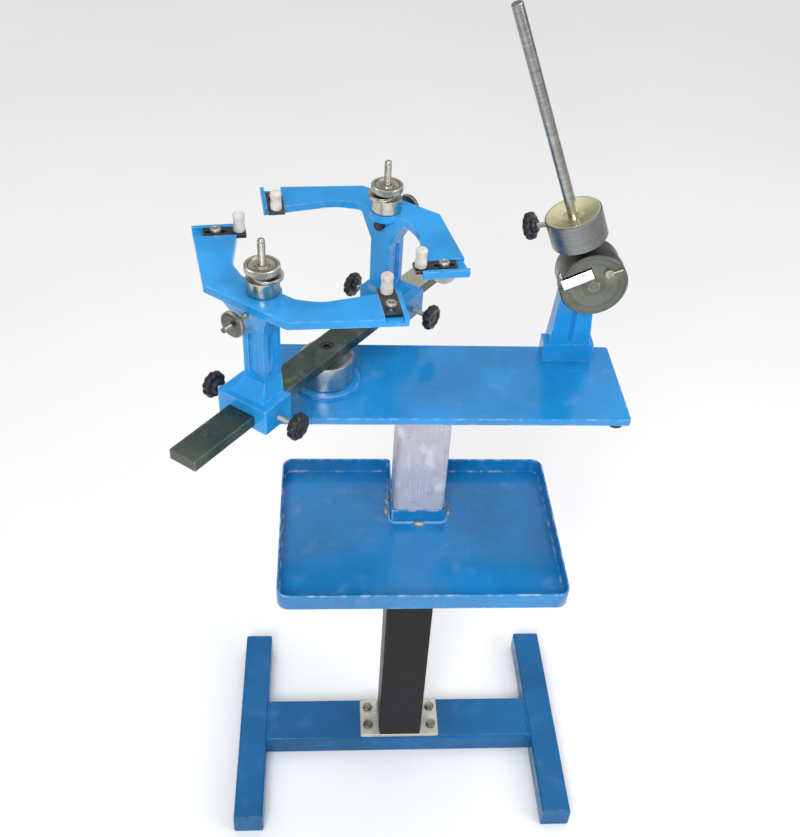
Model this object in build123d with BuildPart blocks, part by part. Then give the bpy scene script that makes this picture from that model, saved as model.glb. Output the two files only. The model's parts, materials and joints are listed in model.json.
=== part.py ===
from build123d import *
import os
from math import cos, radians, sin

os.makedirs("parts", exist_ok=True)

# Drop-weight racket stringing machine on a floor stand. Millimetres, +Z up, +X along
# the table to the right, +Y to the back. The origin is on the floor under the column.

# ---------------------------------------------------------------- driving dimensions
# Floor base: two tubes that run front to back, joined by a crossbar
FOOT_HEIGHT = 36.0
LEG_WIDTH = 42.0
LEG_LENGTH = 328.0
LEG_CENTRE_X = 225.7
LEG_WALL = 2.0
CAP_THICKNESS = 2.0
CROSSBAR_DEPTH = 71.0
TUBE_CORNER = 4.0

# M8 hex bolts that hold the stand together, and the small edge breaks
BOLT_RADIUS = 4.0
BOLT_HOLE_RADIUS = 4.1
BOLT_HEAD_WIDTH = 13.0
BOLT_HEAD_HEIGHT = 5.3
EDGE_BREAK = 0.8
FINE_BREAK = 0.5
MATCH = 0.01
ROUND_BREAK = 1.2

# Column and the plates at its two ends
COLUMN_WIDTH = 63.5
COLUMN_WALL = 2.5
COLUMN_CORNER = 6.5
FLANGE_WIDTH = 121.0
FLANGE_THICKNESS = 5.0
FLANGE_BOLT_X = 49.0
FLANGE_BOLT_Y = 16.0
HEAD_FLANGE_SIZE = 100.0
HEAD_FLANGE_THICKNESS = 6.0
HEAD_BOLT_PITCH = 80.0
HEAD_BOLT_DEPTH = 6.0
FLANGE_SETBACK = 4.0
FLANGE_BOLT_LENGTH = 16.0
LABEL_WIDTH = 61.5
LABEL_BOTTOM = 41.5
LABEL_TOP = 345.0
LABEL_THICKNESS = 1.0
LABEL_CORNER = 1.5

# Tool tray welded to the column, with a collar strip around its rear slot
TRAY_LEFT = -172.5
TRAY_RIGHT = 169.0
TRAY_FRONT = -174.0
TRAY_BACK = 61.0
TRAY_FLOOR = 508.0
TRAY_SHEET = 2.0
TRAY_LIP = 23.0
TRAY_CORNER = 14.0
COLLAR_GAP = 0.25
COLLAR_SHEET = 2.0
COLLAR_HEIGHT = 21.0

# Table plate
PLATE_LEFT = -192.0
PLATE_RIGHT = 229.0
PLATE_HALF_DEPTH = 70.6
PLATE_TOP = 709.0
PLATE_THICKNESS = 8.5
PLATE_CORNER = 4.0
PLATE_FOOT_RADIUS = 10.0
PLATE_FOOT_HEIGHT = 8.0
PLATE_FOOT_INSET = 14.0
PLATE_FOOT_TAPER = 8.0

# Turntable and its bar
PIVOT_X = -116.2
BAR_ANGLE = 52.8
BAR_LENGTH = 470.0
BAR_WIDTH = 34.0
BAR_THICKNESS = 12.7
BAR_TOP = 757.9
HUB_RADIUS = 31.0
HUB_FLANGE_RADIUS = 39.0
HUB_FLANGE_THICKNESS = 5.0
POST_RADIUS = 7.5
POST_COLLAR = 3.0
POST_TAIL = 14.0
POST_NUT_WIDTH = 24.0
POST_NUT_HEIGHT = 9.0
BEARING_RADIUS = 14.0
BEARING_WIDTH = 7.0
BEARING_GAP = 0.1
HUB_GAP = 0.3
BEARING_SEAT = 2.0
HUB_WEB_GAP = 1.0
HUB_BALLS = 9
HEAD_BALLS = 8
HUB_NUT_HEIGHT = 4.5
BAR_BOLT_RADIUS = 5.0
BAR_BOLT_HEAD_RADIUS = 8.0
BAR_BOLT_SEAT_DEPTH = 7.0
BAR_BOLT_SUNK = 1.0
BAR_BOLT_SOCKET = 8.0

# Racket carriages, in a frame at the middle of the saddle: x towards the turntable
NEAR_SHIFT = 124.5
FAR_SHIFT = 129.0
SADDLE_LENGTH = 42.4
SADDLE_WIDTH = 65.2
SADDLE_BOTTOM = 740.5
SADDLE_TOP = 770.0
SADDLE_CORNER = 2.0
SLIDE_GAP = 0.15
SLIDE_SIDE_GAP = 0.3
CHANNEL_OVERRUN = 20.0
LIP_INNER = 11.0
PILLAR_X = 15.0
PILLAR_DEPTH = 27.0
PILLAR_WIDTH = 27.0
PILLAR_TOP = 846.0
FOOT_X = 4.0
FOOT_LENGTH = 34.0
FOOT_WIDTH = 44.0
FOOT_FLARE_HEIGHT = 14.0
PANEL_WIDTH = 13.0
PANEL_DEPTH = 3.0
PANEL_BOTTOM = 19.0
PANEL_TOP = 3.0
HEAD_X = 9.5
HEAD_LENGTH = 37.0
HEAD_WIDTH = 56.0
YOKE_TOP = 884.0
YOKE_THICKNESS = 8.5
BOSS_X = 20.0
LOBE_RADIUS = 19.0
INNER_ROOT_ROUND = 40.0
WEB_ROUND = 14.0
TIP_ROUND = 1.5
ADJUSTER_Z = 869.0
ADJUSTER_RADIUS = 3.0
ADJUSTER_OUTER = -40.0
ADJUSTER_INNER = 34.0
DISC_START = -29.0
DISC_END = -23.5
DISC_RADIUS = 14.0
DISC_HUB_RADIUS = 7.0
DISC_HUB_END = -20.0
CAP_RADIUS = 6.0
CAP_START = 29.0
CAP_END = 37.0
ADJUSTER_SLOT_X = 14.5
ADJUSTER_SLOT_LENGTH = 21.0
ADJUSTER_SLOT_WIDTH = 10.4
ADJUSTER_SLOT_BELOW = 6.5
KNOB_RADIUS = 15.5
KNOB_LENGTH = 13.0
KNOB_START = 49.5
KNOB_SCREW_RADIUS = 3.0
KNOB_HUB_LENGTH = 4.0
KNOB_HUB_SHARE = 0.5
KNOB_DISH_SHARE = 0.55
KNOB_DISH_DEPTH = 1.5
KNOB_ROUND = 2.2
FLUTES = 10
FLUTE_SHARE = 0.16
FLUTE_OFFSET = 0.6

# Side pads in the channels at the ends of the yoke arms
CHANNEL_WIDTH = 19.0
CHANNEL_DEPTH = 5.0
CHANNEL_RIM = 4.5
PAD_SLIDE_LENGTH = 46.0
PAD_SLIDE_THICKNESS = 4.0
PAD_SLIDE_SHIFT = 9.0
PAD_SLOT_LENGTH = 24.0
PAD_GAP = 0.1
PAD_SIDE_GAP = 0.3
PAD_END_MARGIN = 0.5
PEG_RADIUS = 6.5
PEG_TOP = 905.0
PEG_TAIL_RADIUS = 3.0
PEG_ROUND = 1.5
LOCK_SCREW_RADIUS = 3.0
LOCK_SCREW_TAIL = 12.0
LOCK_HEAD_RADIUS = 6.0
LOCK_HEAD_GAP = 0.2
LOCK_HEAD_TOP = 5.0
LOCK_NUT_RADIUS = 11.5
LOCK_NUT_BOTTOM = 9.0

# Head support and its hold-down
SUPPORT_RADIUS = 17.0
SUPPORT_HEIGHT = 16.0
SUPPORT_GAP = 0.2
LUG_LENGTH = 6.0
LUG_WIDTH = 10.0
LUG_BELOW = 5.5
LUG_SCREW_END = 40.0
STUD_FOOT = 2.0
STUD_RADIUS = 4.0
STUD_TOP = 943.0
NUT_RADIUS = 18.0
NUT_HEIGHT = 11.0
NUT_GAP = 0.1
NUT_HUB_RADIUS = 10.0
NUT_HUB_HEIGHT = 3.0
WASHER_HEIGHT = 4.0
WASHER_RADIUS = 16.0
WASHER_OFFSET = (3.0, -4.0)

# Tension head
MAST_X = 172.5
MAST_Y = 52.0
MAST_BLOCK_WIDTH = 61.0
MAST_BLOCK_DEPTH = 24.0
MAST_BLOCK_TOP = 733.0
MAST_BLOCK_CORNER = 2.0
MAST_FOOT_WIDTH = 50.0
MAST_FOOT_DEPTH = 22.0
MAST_NECK_WIDTH = 32.0
MAST_NECK_DEPTH = 20.0
MAST_NECK_DROP = 10.0
MAST_GROOVE_HEIGHT = 70.0
MAST_GROOVE_WIDTH = 6.0
MAST_GROOVE_DEPTH = 5.0
MAST_GROOVE_RISE = 4.0
MAST_BOLT_SPREAD = 40.0
MAST_BOLT_DEPTH = 16.0
MAST_BOLT_GAP = 1.0
HEAD_Z = 850.0
HEAD_BOSS_RADIUS = 21.0
HEAD_BOSS_FRONT = 31.0
HEAD_BOSS_BACK = 66.0
SHAFT_RADIUS = 6.0
HEAD_BEARING_RADIUS = 14.0
HEAD_BEARING_WIDTH = 8.0
HEAD_BEARING_INSET = 1.0
SHAFT_CLEARANCE = 2.0
SHAFT_FRONT = 1.0
SHAFT_TAIL = 11.0
SHAFT_NUT_GAP = 0.5
SHAFT_NUT_WIDTH = 19.0
SHAFT_NUT_HEIGHT = 8.0
DRUM_RADIUS = 36.0
DRUM_FRONT = 6.0
DRUM_BACK = 29.0
DISC_FRONT = -13.0
FRONT_DISC_RADIUS = 37.5
FRONT_DISC_BREAK = 1.5
JAW_WIDTH = 13.0
JAW_TILT = 27.0
JAW_OFFSET = 14.6
JAW_START = -4.5
JAW_LENGTH = 36.0
JAW_GAP = 0.4
JAW_END_GAP = 0.9
JAW_OPENING = 3.2
JAW_DEPTH = 10.0
JAW_FLOOR_GAP = 0.3
JAW_SCREW_X = 13.8
JAW_SCREW_Z = 16.2
JAW_SCREW_RADIUS = 3.0
JAW_SCREW_DEPTH = 10.0
JAW_SCREW_HEAD = 5.5
JAW_SCREW_HEIGHT = 3.0
JAW_PIN_RADIUS = 1.2
JAW_PIN_LENGTH = 15.4
JAW_PIN_LEAN = 22.0
RECESS_LENGTH = 60.0
LEVER_LEAN = 21.8
LEVER_Y = 17.0
ROD_RADIUS = 6.0
ROD_START = 14.0
ROD_END = 310.0
WEIGHT_RADIUS = 31.0
WEIGHT_BOTTOM = 44.0
WEIGHT_HEIGHT = 34.5
WEIGHT_KNOB_TURN = 25.0
WEIGHT_KNOB_SHARE = 0.62
WEIGHT_KNOB_START = 43.0
WEIGHT_DISH_RADIUS = 12.0
WEIGHT_DISH_RIM = 3.0
WEIGHT_DISH_DEPTH = 3.0
SCREW_TIP_GAP = 0.4
SCREW_FIT = 0.05

BAR_BOTTOM = BAR_TOP - BAR_THICKNESS
PLATE_BOTTOM = PLATE_TOP - PLATE_THICKNESS
COLUMN_TOP = PLATE_BOTTOM - HEAD_FLANGE_THICKNESS
COLUMN_BOTTOM = FOOT_HEIGHT + FLANGE_THICKNESS
BAR_DIRECTION = Vector(cos(radians(BAR_ANGLE)), sin(radians(BAR_ANGLE)), 0)


# ---------------------------------------------------------------- helpers
def save(piece, name):
    """Label a finished piece and write its STEP file."""
    piece.part.label = name
    export_step(piece.part, f"parts/{name}.step")


def local_plane(frame, point, axis):
    """Plane at a point given in a frame, with its normal along that frame's axis."""
    origin = frame.from_local_coords(point)
    if axis == "x":
        return Plane(origin=origin, x_dir=frame.y_dir, z_dir=frame.x_dir)
    if axis == "y":
        return Plane(origin=origin, x_dir=frame.x_dir, z_dir=frame.y_dir)
    if axis == "-y":
        return Plane(origin=origin, x_dir=frame.x_dir, z_dir=-frame.y_dir)
    return Plane(origin=origin, x_dir=frame.x_dir, z_dir=frame.z_dir)


def upright_plane(frame, point, axis):
    """Like local_plane, but turned so that the sketch's x runs up the object."""
    flat = local_plane(frame, point, axis)
    return Plane(origin=flat.origin, x_dir=(0, 0, 1), z_dir=flat.z_dir)


def cylinder_along(plane, radius, start, end, mode=Mode.ADD):
    """Cylinder about a plane's normal, from one distance along it to another."""
    with BuildSketch(plane.offset(start)) as disc:
        Circle(radius)
    extrude(disc.sketch, amount=end - start, mode=mode)


def cone_along(plane, start_radius, end_radius, start, end, mode=Mode.ADD):
    """Cone about a plane's normal between two distances along it."""
    with BuildSketch(plane.offset(start)) as first:
        Circle(start_radius)
    with BuildSketch(plane.offset(end)) as last:
        Circle(end_radius)
    loft([first.sketch, last.sketch], mode=mode)


def fluted_knob(name, plane, screw_start, knob_start, screw_radius, radius, length):
    """Hand knob with finger flutes on a screw; the plane's normal points outwards."""
    body_start = knob_start + KNOB_HUB_LENGTH
    knob_end = knob_start + length
    with BuildPart() as knob:
        cylinder_along(plane, screw_radius, screw_start, knob_start)
        cylinder_along(plane, radius * KNOB_HUB_SHARE, knob_start, body_start)
        cylinder_along(plane, radius, body_start, knob_end)
        rim = knob.edges().filter_by(GeomType.CIRCLE).filter_by(lambda e: abs(e.radius - radius) < MATCH)
        fillet(rim, KNOB_ROUND)
        with BuildSketch(plane.offset(body_start)):
            with PolarLocations(radius + FLUTE_OFFSET, FLUTES):
                Circle(radius * FLUTE_SHARE)
        extrude(amount=length, mode=Mode.SUBTRACT)
        cylinder_along(plane, radius * KNOB_DISH_SHARE, knob_end - KNOB_DISH_DEPTH, knob_end, Mode.SUBTRACT)
    save(knob, name)


def hex_bolt(plane, shank_length):
    """Hex bolt whose head stands on the plane and whose shank goes down from it."""
    with BuildSketch(plane) as hexagon:
        RegularPolygon(BOLT_HEAD_WIDTH / 2, 6, major_radius=False)
    extrude(hexagon.sketch, amount=BOLT_HEAD_HEIGHT)
    cylinder_along(plane, BOLT_RADIUS, 0, -shank_length)


# ---------------------------------------------------------------- floor stand
def leg(name, side):
    """Rectangular tube that runs front to back on the floor."""
    plane = Plane.XZ.offset(-(LEG_LENGTH / 2 - CAP_THICKNESS))
    with BuildPart() as tube:
        with BuildSketch(plane):
            with Locations((side * LEG_CENTRE_X, FOOT_HEIGHT / 2)):
                RectangleRounded(LEG_WIDTH, FOOT_HEIGHT, TUBE_CORNER)
                RectangleRounded(LEG_WIDTH - 2 * LEG_WALL, FOOT_HEIGHT - 2 * LEG_WALL,
                                 TUBE_CORNER - LEG_WALL, mode=Mode.SUBTRACT)
        extrude(amount=LEG_LENGTH - 2 * CAP_THICKNESS)
    save(tube, name)


leg("left_leg", -1)
leg("right_leg", 1)

with BuildPart() as leg_end_plates:
    for side in (-1, 1):
        for end in (-1, 1):
            face_y = end * (LEG_LENGTH / 2 - CAP_THICKNESS)
            with BuildSketch(Plane.XZ.offset(-face_y)):
                with Locations((side * LEG_CENTRE_X, FOOT_HEIGHT / 2)):
                    RectangleRounded(LEG_WIDTH, FOOT_HEIGHT, TUBE_CORNER)
            extrude(amount=-end * CAP_THICKNESS)
save(leg_end_plates, "leg_end_plates")

CROSSBAR_LENGTH = 2 * LEG_CENTRE_X - LEG_WIDTH
with BuildPart() as crossbar:
    with BuildSketch(Plane.YZ.offset(-CROSSBAR_LENGTH / 2)):
        with Locations((0, FOOT_HEIGHT / 2)):
            RectangleRounded(CROSSBAR_DEPTH, FOOT_HEIGHT, TUBE_CORNER)
            RectangleRounded(CROSSBAR_DEPTH - 2 * LEG_WALL, FOOT_HEIGHT - 2 * LEG_WALL,
                             TUBE_CORNER - LEG_WALL, mode=Mode.SUBTRACT)
    extrude(amount=CROSSBAR_LENGTH)
    with BuildSketch(Plane.XY.offset(FOOT_HEIGHT)):
        with GridLocations(2 * FLANGE_BOLT_X, 2 * FLANGE_BOLT_Y, 2, 2):
            Circle(BOLT_HOLE_RADIUS)
    extrude(amount=-LEG_WALL, mode=Mode.SUBTRACT)
save(crossbar, "crossbar")

with BuildPart() as base_flange:
    with BuildSketch(Plane.XY.offset(FOOT_HEIGHT)):
        RectangleRounded(FLANGE_WIDTH, CROSSBAR_DEPTH - FLANGE_SETBACK, LEG_WALL)
        with GridLocations(2 * FLANGE_BOLT_X, 2 * FLANGE_BOLT_Y, 2, 2):
            Circle(BOLT_HOLE_RADIUS, mode=Mode.SUBTRACT)
    extrude(amount=FLANGE_THICKNESS)
    chamfer(base_flange.faces().sort_by(Axis.Z)[-1].outer_wire().edges(), EDGE_BREAK)
save(base_flange, "base_flange")

with BuildPart() as flange_bolts:
    for bolt_x in (-FLANGE_BOLT_X, FLANGE_BOLT_X):
        for bolt_y in (-FLANGE_BOLT_Y, FLANGE_BOLT_Y):
            hex_bolt(Plane((bolt_x, bolt_y, COLUMN_BOTTOM)), FLANGE_BOLT_LENGTH)
save(flange_bolts, "flange_bolts")

with BuildPart() as column:
    with BuildSketch(Plane.XY.offset(COLUMN_BOTTOM)):
        RectangleRounded(COLUMN_WIDTH, COLUMN_WIDTH, COLUMN_CORNER)
        RectangleRounded(COLUMN_WIDTH - 2 * COLUMN_WALL, COLUMN_WIDTH - 2 * COLUMN_WALL,
                         COLUMN_CORNER - COLUMN_WALL, mode=Mode.SUBTRACT)
    extrude(amount=COLUMN_TOP - COLUMN_BOTTOM)
save(column, "column")

with BuildPart() as label_panel:
    with BuildSketch(Plane.XZ.offset(COLUMN_WIDTH / 2)):
        with Locations((0, (LABEL_BOTTOM + LABEL_TOP) / 2)):
            RectangleRounded(LABEL_WIDTH, LABEL_TOP - LABEL_BOTTOM, LABEL_CORNER)
    extrude(amount=LABEL_THICKNESS)
save(label_panel, "label_panel")

with BuildPart() as head_flange:
    with BuildSketch(Plane.XY.offset(COLUMN_TOP)):
        RectangleRounded(HEAD_FLANGE_SIZE, HEAD_FLANGE_SIZE, PLATE_CORNER)
        with GridLocations(HEAD_BOLT_PITCH, HEAD_BOLT_PITCH, 2, 2):
            Circle(BOLT_HOLE_RADIUS, mode=Mode.SUBTRACT)
    extrude(amount=HEAD_FLANGE_THICKNESS)
save(head_flange, "head_flange")

with BuildPart() as head_flange_bolts:
    for bolt_x in (-HEAD_BOLT_PITCH / 2, HEAD_BOLT_PITCH / 2):
        for bolt_y in (-HEAD_BOLT_PITCH / 2, HEAD_BOLT_PITCH / 2):
            below = Plane(origin=(bolt_x, bolt_y, COLUMN_TOP), x_dir=(1, 0, 0), z_dir=(0, 0, -1))
            hex_bolt(below, HEAD_FLANGE_THICKNESS + HEAD_BOLT_DEPTH)
save(head_flange_bolts, "head_flange_bolts")

# ---------------------------------------------------------------- tool tray
TRAY_WIDTH = TRAY_RIGHT - TRAY_LEFT
TRAY_DEPTH = TRAY_BACK - TRAY_FRONT
TRAY_X = (TRAY_RIGHT + TRAY_LEFT) / 2
TRAY_Y = (TRAY_BACK + TRAY_FRONT) / 2
COLLAR_INNER_HALF = COLUMN_WIDTH / 2 + COLLAR_GAP
COLLAR_OUTER_HALF = COLLAR_INNER_HALF + COLLAR_SHEET
COLLAR_DEPTH = TRAY_BACK + COLLAR_OUTER_HALF
COLLAR_Y = (TRAY_BACK - COLLAR_OUTER_HALF) / 2

with BuildPart() as tray:
    with BuildSketch(Plane.XY.offset(TRAY_FLOOR)):
        with Locations((TRAY_X, TRAY_Y)):
            RectangleRounded(TRAY_WIDTH, TRAY_DEPTH, TRAY_CORNER)
    extrude(amount=TRAY_LIP)
    with BuildSketch(Plane.XY.offset(TRAY_FLOOR + TRAY_SHEET)):
        with Locations((TRAY_X, TRAY_Y)):
            RectangleRounded(TRAY_WIDTH - 2 * TRAY_SHEET, TRAY_DEPTH - 2 * TRAY_SHEET,
                             TRAY_CORNER - TRAY_SHEET)
    extrude(amount=TRAY_LIP, mode=Mode.SUBTRACT)
    with BuildSketch(Plane.XY.offset(TRAY_FLOOR)):
        with Locations((0, COLLAR_Y)):
            Rectangle(2 * COLLAR_OUTER_HALF, COLLAR_DEPTH)
    extrude(amount=TRAY_LIP, mode=Mode.SUBTRACT)
save(tray, "tray")

with BuildPart() as tray_collar:
    with BuildSketch(Plane.XY.offset(TRAY_FLOOR)):
        with Locations((0, COLLAR_Y)):
            Rectangle(2 * COLLAR_OUTER_HALF, COLLAR_DEPTH)
        with Locations((0, COLLAR_Y + COLLAR_SHEET)):
            Rectangle(2 * COLLAR_INNER_HALF, COLLAR_DEPTH, mode=Mode.SUBTRACT)
    extrude(amount=COLLAR_HEIGHT)
save(tray_collar, "tray_collar")

# ---------------------------------------------------------------- table plate
PLATE_X = (PLATE_LEFT + PLATE_RIGHT) / 2
with BuildPart() as table_plate:
    with BuildSketch(Plane.XY.offset(PLATE_BOTTOM)):
        with Locations((PLATE_X, 0)):
            RectangleRounded(PLATE_RIGHT - PLATE_LEFT, 2 * PLATE_HALF_DEPTH, PLATE_CORNER)
        with Locations((PIVOT_X, 0)):
            Circle(POST_RADIUS, mode=Mode.SUBTRACT)
        with Locations((MAST_X - MAST_BOLT_SPREAD / 2, MAST_Y), (MAST_X + MAST_BOLT_SPREAD / 2, MAST_Y)):
            Circle(BOLT_HOLE_RADIUS, mode=Mode.SUBTRACT)
    extrude(amount=PLATE_THICKNESS)
    with BuildSketch(Plane.XY.offset(PLATE_BOTTOM)):
        with GridLocations(HEAD_BOLT_PITCH, HEAD_BOLT_PITCH, 2, 2):
            Circle(BOLT_HOLE_RADIUS)
    extrude(amount=HEAD_BOLT_DEPTH, mode=Mode.SUBTRACT)
    chamfer(table_plate.faces().sort_by(Axis.Z)[-1].outer_wire().edges(), EDGE_BREAK)
save(table_plate, "table_plate")

with BuildPart() as plate_feet:
    foot_spread_x = PLATE_RIGHT - PLATE_LEFT - 2 * PLATE_FOOT_INSET
    foot_spread_y = 2 * (PLATE_HALF_DEPTH - PLATE_FOOT_INSET)
    with BuildSketch(Plane.XY.offset(PLATE_BOTTOM)):
        with Locations((PLATE_X, 0)):
            with GridLocations(foot_spread_x, foot_spread_y, 2, 2):
                Circle(PLATE_FOOT_RADIUS)
    extrude(amount=-PLATE_FOOT_HEIGHT, taper=PLATE_FOOT_TAPER)
save(plate_feet, "plate_feet")

# ---------------------------------------------------------------- turntable
pivot = Plane(origin=(PIVOT_X, 0, 0), x_dir=BAR_DIRECTION, z_dir=(0, 0, 1))
PIVOT_FLANGE_TOP = PLATE_TOP + HUB_FLANGE_THICKNESS
HUB_BOTTOM = PIVOT_FLANGE_TOP + HUB_GAP
LOWER_BEARING = PIVOT_FLANGE_TOP + BEARING_SEAT
UPPER_BEARING = LOWER_BEARING + BEARING_WIDTH
HUB_NUT_BOTTOM = UPPER_BEARING + BEARING_WIDTH + BEARING_GAP
POST_TOP = HUB_NUT_BOTTOM + HUB_NUT_HEIGHT + HUB_GAP
HUB_WEB = POST_TOP + HUB_WEB_GAP

with BuildPart() as pivot_flange:
    cylinder_along(pivot, HUB_FLANGE_RADIUS, PLATE_TOP, PIVOT_FLANGE_TOP)
    chamfer(pivot_flange.edges().filter_by(GeomType.CIRCLE).sort_by(Axis.Z)[-1], ROUND_BREAK)
    cylinder_along(pivot, POST_RADIUS, PLATE_TOP, PIVOT_FLANGE_TOP, Mode.SUBTRACT)
save(pivot_flange, "pivot_flange")

with BuildPart() as pivot_post:
    cylinder_along(pivot, POST_RADIUS, PLATE_BOTTOM - POST_TAIL, POST_TOP)
    cylinder_along(pivot, POST_RADIUS + POST_COLLAR, PIVOT_FLANGE_TOP, LOWER_BEARING - BEARING_GAP)
save(pivot_post, "pivot_post")

with BuildPart() as pivot_post_nuts:
    with BuildSketch(pivot.offset(PLATE_BOTTOM)):
        RegularPolygon(POST_NUT_WIDTH / 2, 6, major_radius=False)
        Circle(POST_RADIUS, mode=Mode.SUBTRACT)
    extrude(amount=-POST_NUT_HEIGHT)
    with BuildSketch(pivot.offset(HUB_NUT_BOTTOM)):
        Circle(POST_RADIUS + POST_COLLAR)
        Circle(POST_RADIUS, mode=Mode.SUBTRACT)
    extrude(amount=HUB_NUT_HEIGHT)
save(pivot_post_nuts, "pivot_post_nuts")


def ball_bearing(plane, start, bore_radius, outer_radius, width, balls):
    """Deep-groove ball bearing: outer ring, inner ring and balls held by a shield web."""
    ring_share = 0.36
    ball_share = 0.3
    cage_inset = 1.0
    gap_inner = bore_radius + (outer_radius - bore_radius) * ring_share
    gap_outer = outer_radius - (outer_radius - bore_radius) * ring_share
    with BuildSketch(plane.offset(start)) as rings:
        Circle(outer_radius)
        Circle(gap_outer, mode=Mode.SUBTRACT)
        Circle(gap_inner)
        Circle(bore_radius, mode=Mode.SUBTRACT)
    extrude(rings.sketch, amount=width)
    with BuildSketch(plane.offset(start + cage_inset)) as cage:
        Circle(gap_outer)
        Circle(gap_inner, mode=Mode.SUBTRACT)
        with PolarLocations((gap_inner + gap_outer) / 2, balls):
            Circle((gap_outer - gap_inner) * ball_share, mode=Mode.SUBTRACT)
    extrude(cage.sketch, amount=width - 2 * cage_inset)


with BuildPart() as hub_bearings:
    ball_bearing(pivot, LOWER_BEARING, POST_RADIUS + SCREW_FIT, BEARING_RADIUS, BEARING_WIDTH - BEARING_GAP,
                 HUB_BALLS)
    ball_bearing(pivot, UPPER_BEARING, POST_RADIUS + SCREW_FIT, BEARING_RADIUS, BEARING_WIDTH, HUB_BALLS)
save(hub_bearings, "hub_bearings")

with BuildPart() as turntable_hub:
    cylinder_along(pivot, HUB_RADIUS, HUB_BOTTOM, BAR_BOTTOM)
    chamfer(turntable_hub.edges().filter_by(GeomType.CIRCLE), ROUND_BREAK)
    cylinder_along(pivot, BEARING_RADIUS, HUB_BOTTOM, HUB_WEB, Mode.SUBTRACT)
    cylinder_along(pivot, BAR_BOLT_RADIUS, HUB_WEB, BAR_BOTTOM, Mode.SUBTRACT)
save(turntable_hub, "turntable_hub")

BOLT_SEAT = BAR_TOP - BAR_BOLT_SEAT_DEPTH
BOLT_HEAD_TOP = BAR_TOP - BAR_BOLT_SUNK
with BuildPart() as turntable_bar:
    with BuildSketch(pivot.offset(BAR_BOTTOM)):
        Rectangle(BAR_LENGTH, BAR_WIDTH)
    extrude(amount=BAR_THICKNESS)
    chamfer(turntable_bar.edges(), EDGE_BREAK)
    cylinder_along(pivot, BAR_BOLT_HEAD_RADIUS + FINE_BREAK, BOLT_SEAT, BAR_TOP, Mode.SUBTRACT)
    cylinder_along(pivot, BAR_BOLT_RADIUS, BAR_BOTTOM, BOLT_SEAT, Mode.SUBTRACT)
save(turntable_bar, "turntable_bar")

with BuildPart() as bar_bolt:
    cylinder_along(pivot, BAR_BOLT_HEAD_RADIUS, BOLT_SEAT, BOLT_HEAD_TOP)
    cylinder_along(pivot, BAR_BOLT_RADIUS, HUB_WEB + FINE_BREAK, BOLT_SEAT)
    with BuildSketch(pivot.offset(BOLT_HEAD_TOP)):
        RegularPolygon(BAR_BOLT_SOCKET / 2, 6, major_radius=False)
    extrude(amount=-BAR_BOLT_SOCKET / 2, mode=Mode.SUBTRACT)
save(bar_bolt, "bar_bolt")

# ---------------------------------------------------------------- racket carriages
YOKE_BOTTOM = YOKE_TOP - YOKE_THICKNESS
ARM_OUTER_ROOT = (-9.0, 53.0)
ARM_OUTER_TIP = (70.0, 142.0)
ARM_INNER_TIP = (106.0, 106.0)
ARM_INNER_ROOT = (40.0, 58.0)
WEB_INNER = (28.0, 34.0)
TIP_INWARD = Vector(ARM_INNER_TIP[0] - ARM_OUTER_TIP[0], ARM_INNER_TIP[1] - ARM_OUTER_TIP[1], 0)
TIP_LENGTH = TIP_INWARD.length
CHANNEL_SHIFT = CHANNEL_RIM + CHANNEL_WIDTH / 2


def channel_frame(frame, side):
    """Frame at the middle of an arm's channel: x points inwards along the channel."""
    middle_x = (ARM_OUTER_TIP[0] + ARM_INNER_TIP[0]) / 2
    middle_y = (ARM_OUTER_TIP[1] + ARM_INNER_TIP[1]) / 2
    inward = TIP_INWARD.normalized()
    back = Vector(-inward.Y, inward.X, 0) * -1
    centre_x = middle_x + back.X * CHANNEL_SHIFT
    centre_y = middle_y + back.Y * CHANNEL_SHIFT
    origin = frame.from_local_coords((centre_x, side * centre_y, 0))
    direction = frame.from_local_coords((inward.X, side * inward.Y, 0)) - frame.from_local_coords((0, 0, 0))
    return Plane(origin=origin, x_dir=direction, z_dir=(0, 0, 1))


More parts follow.
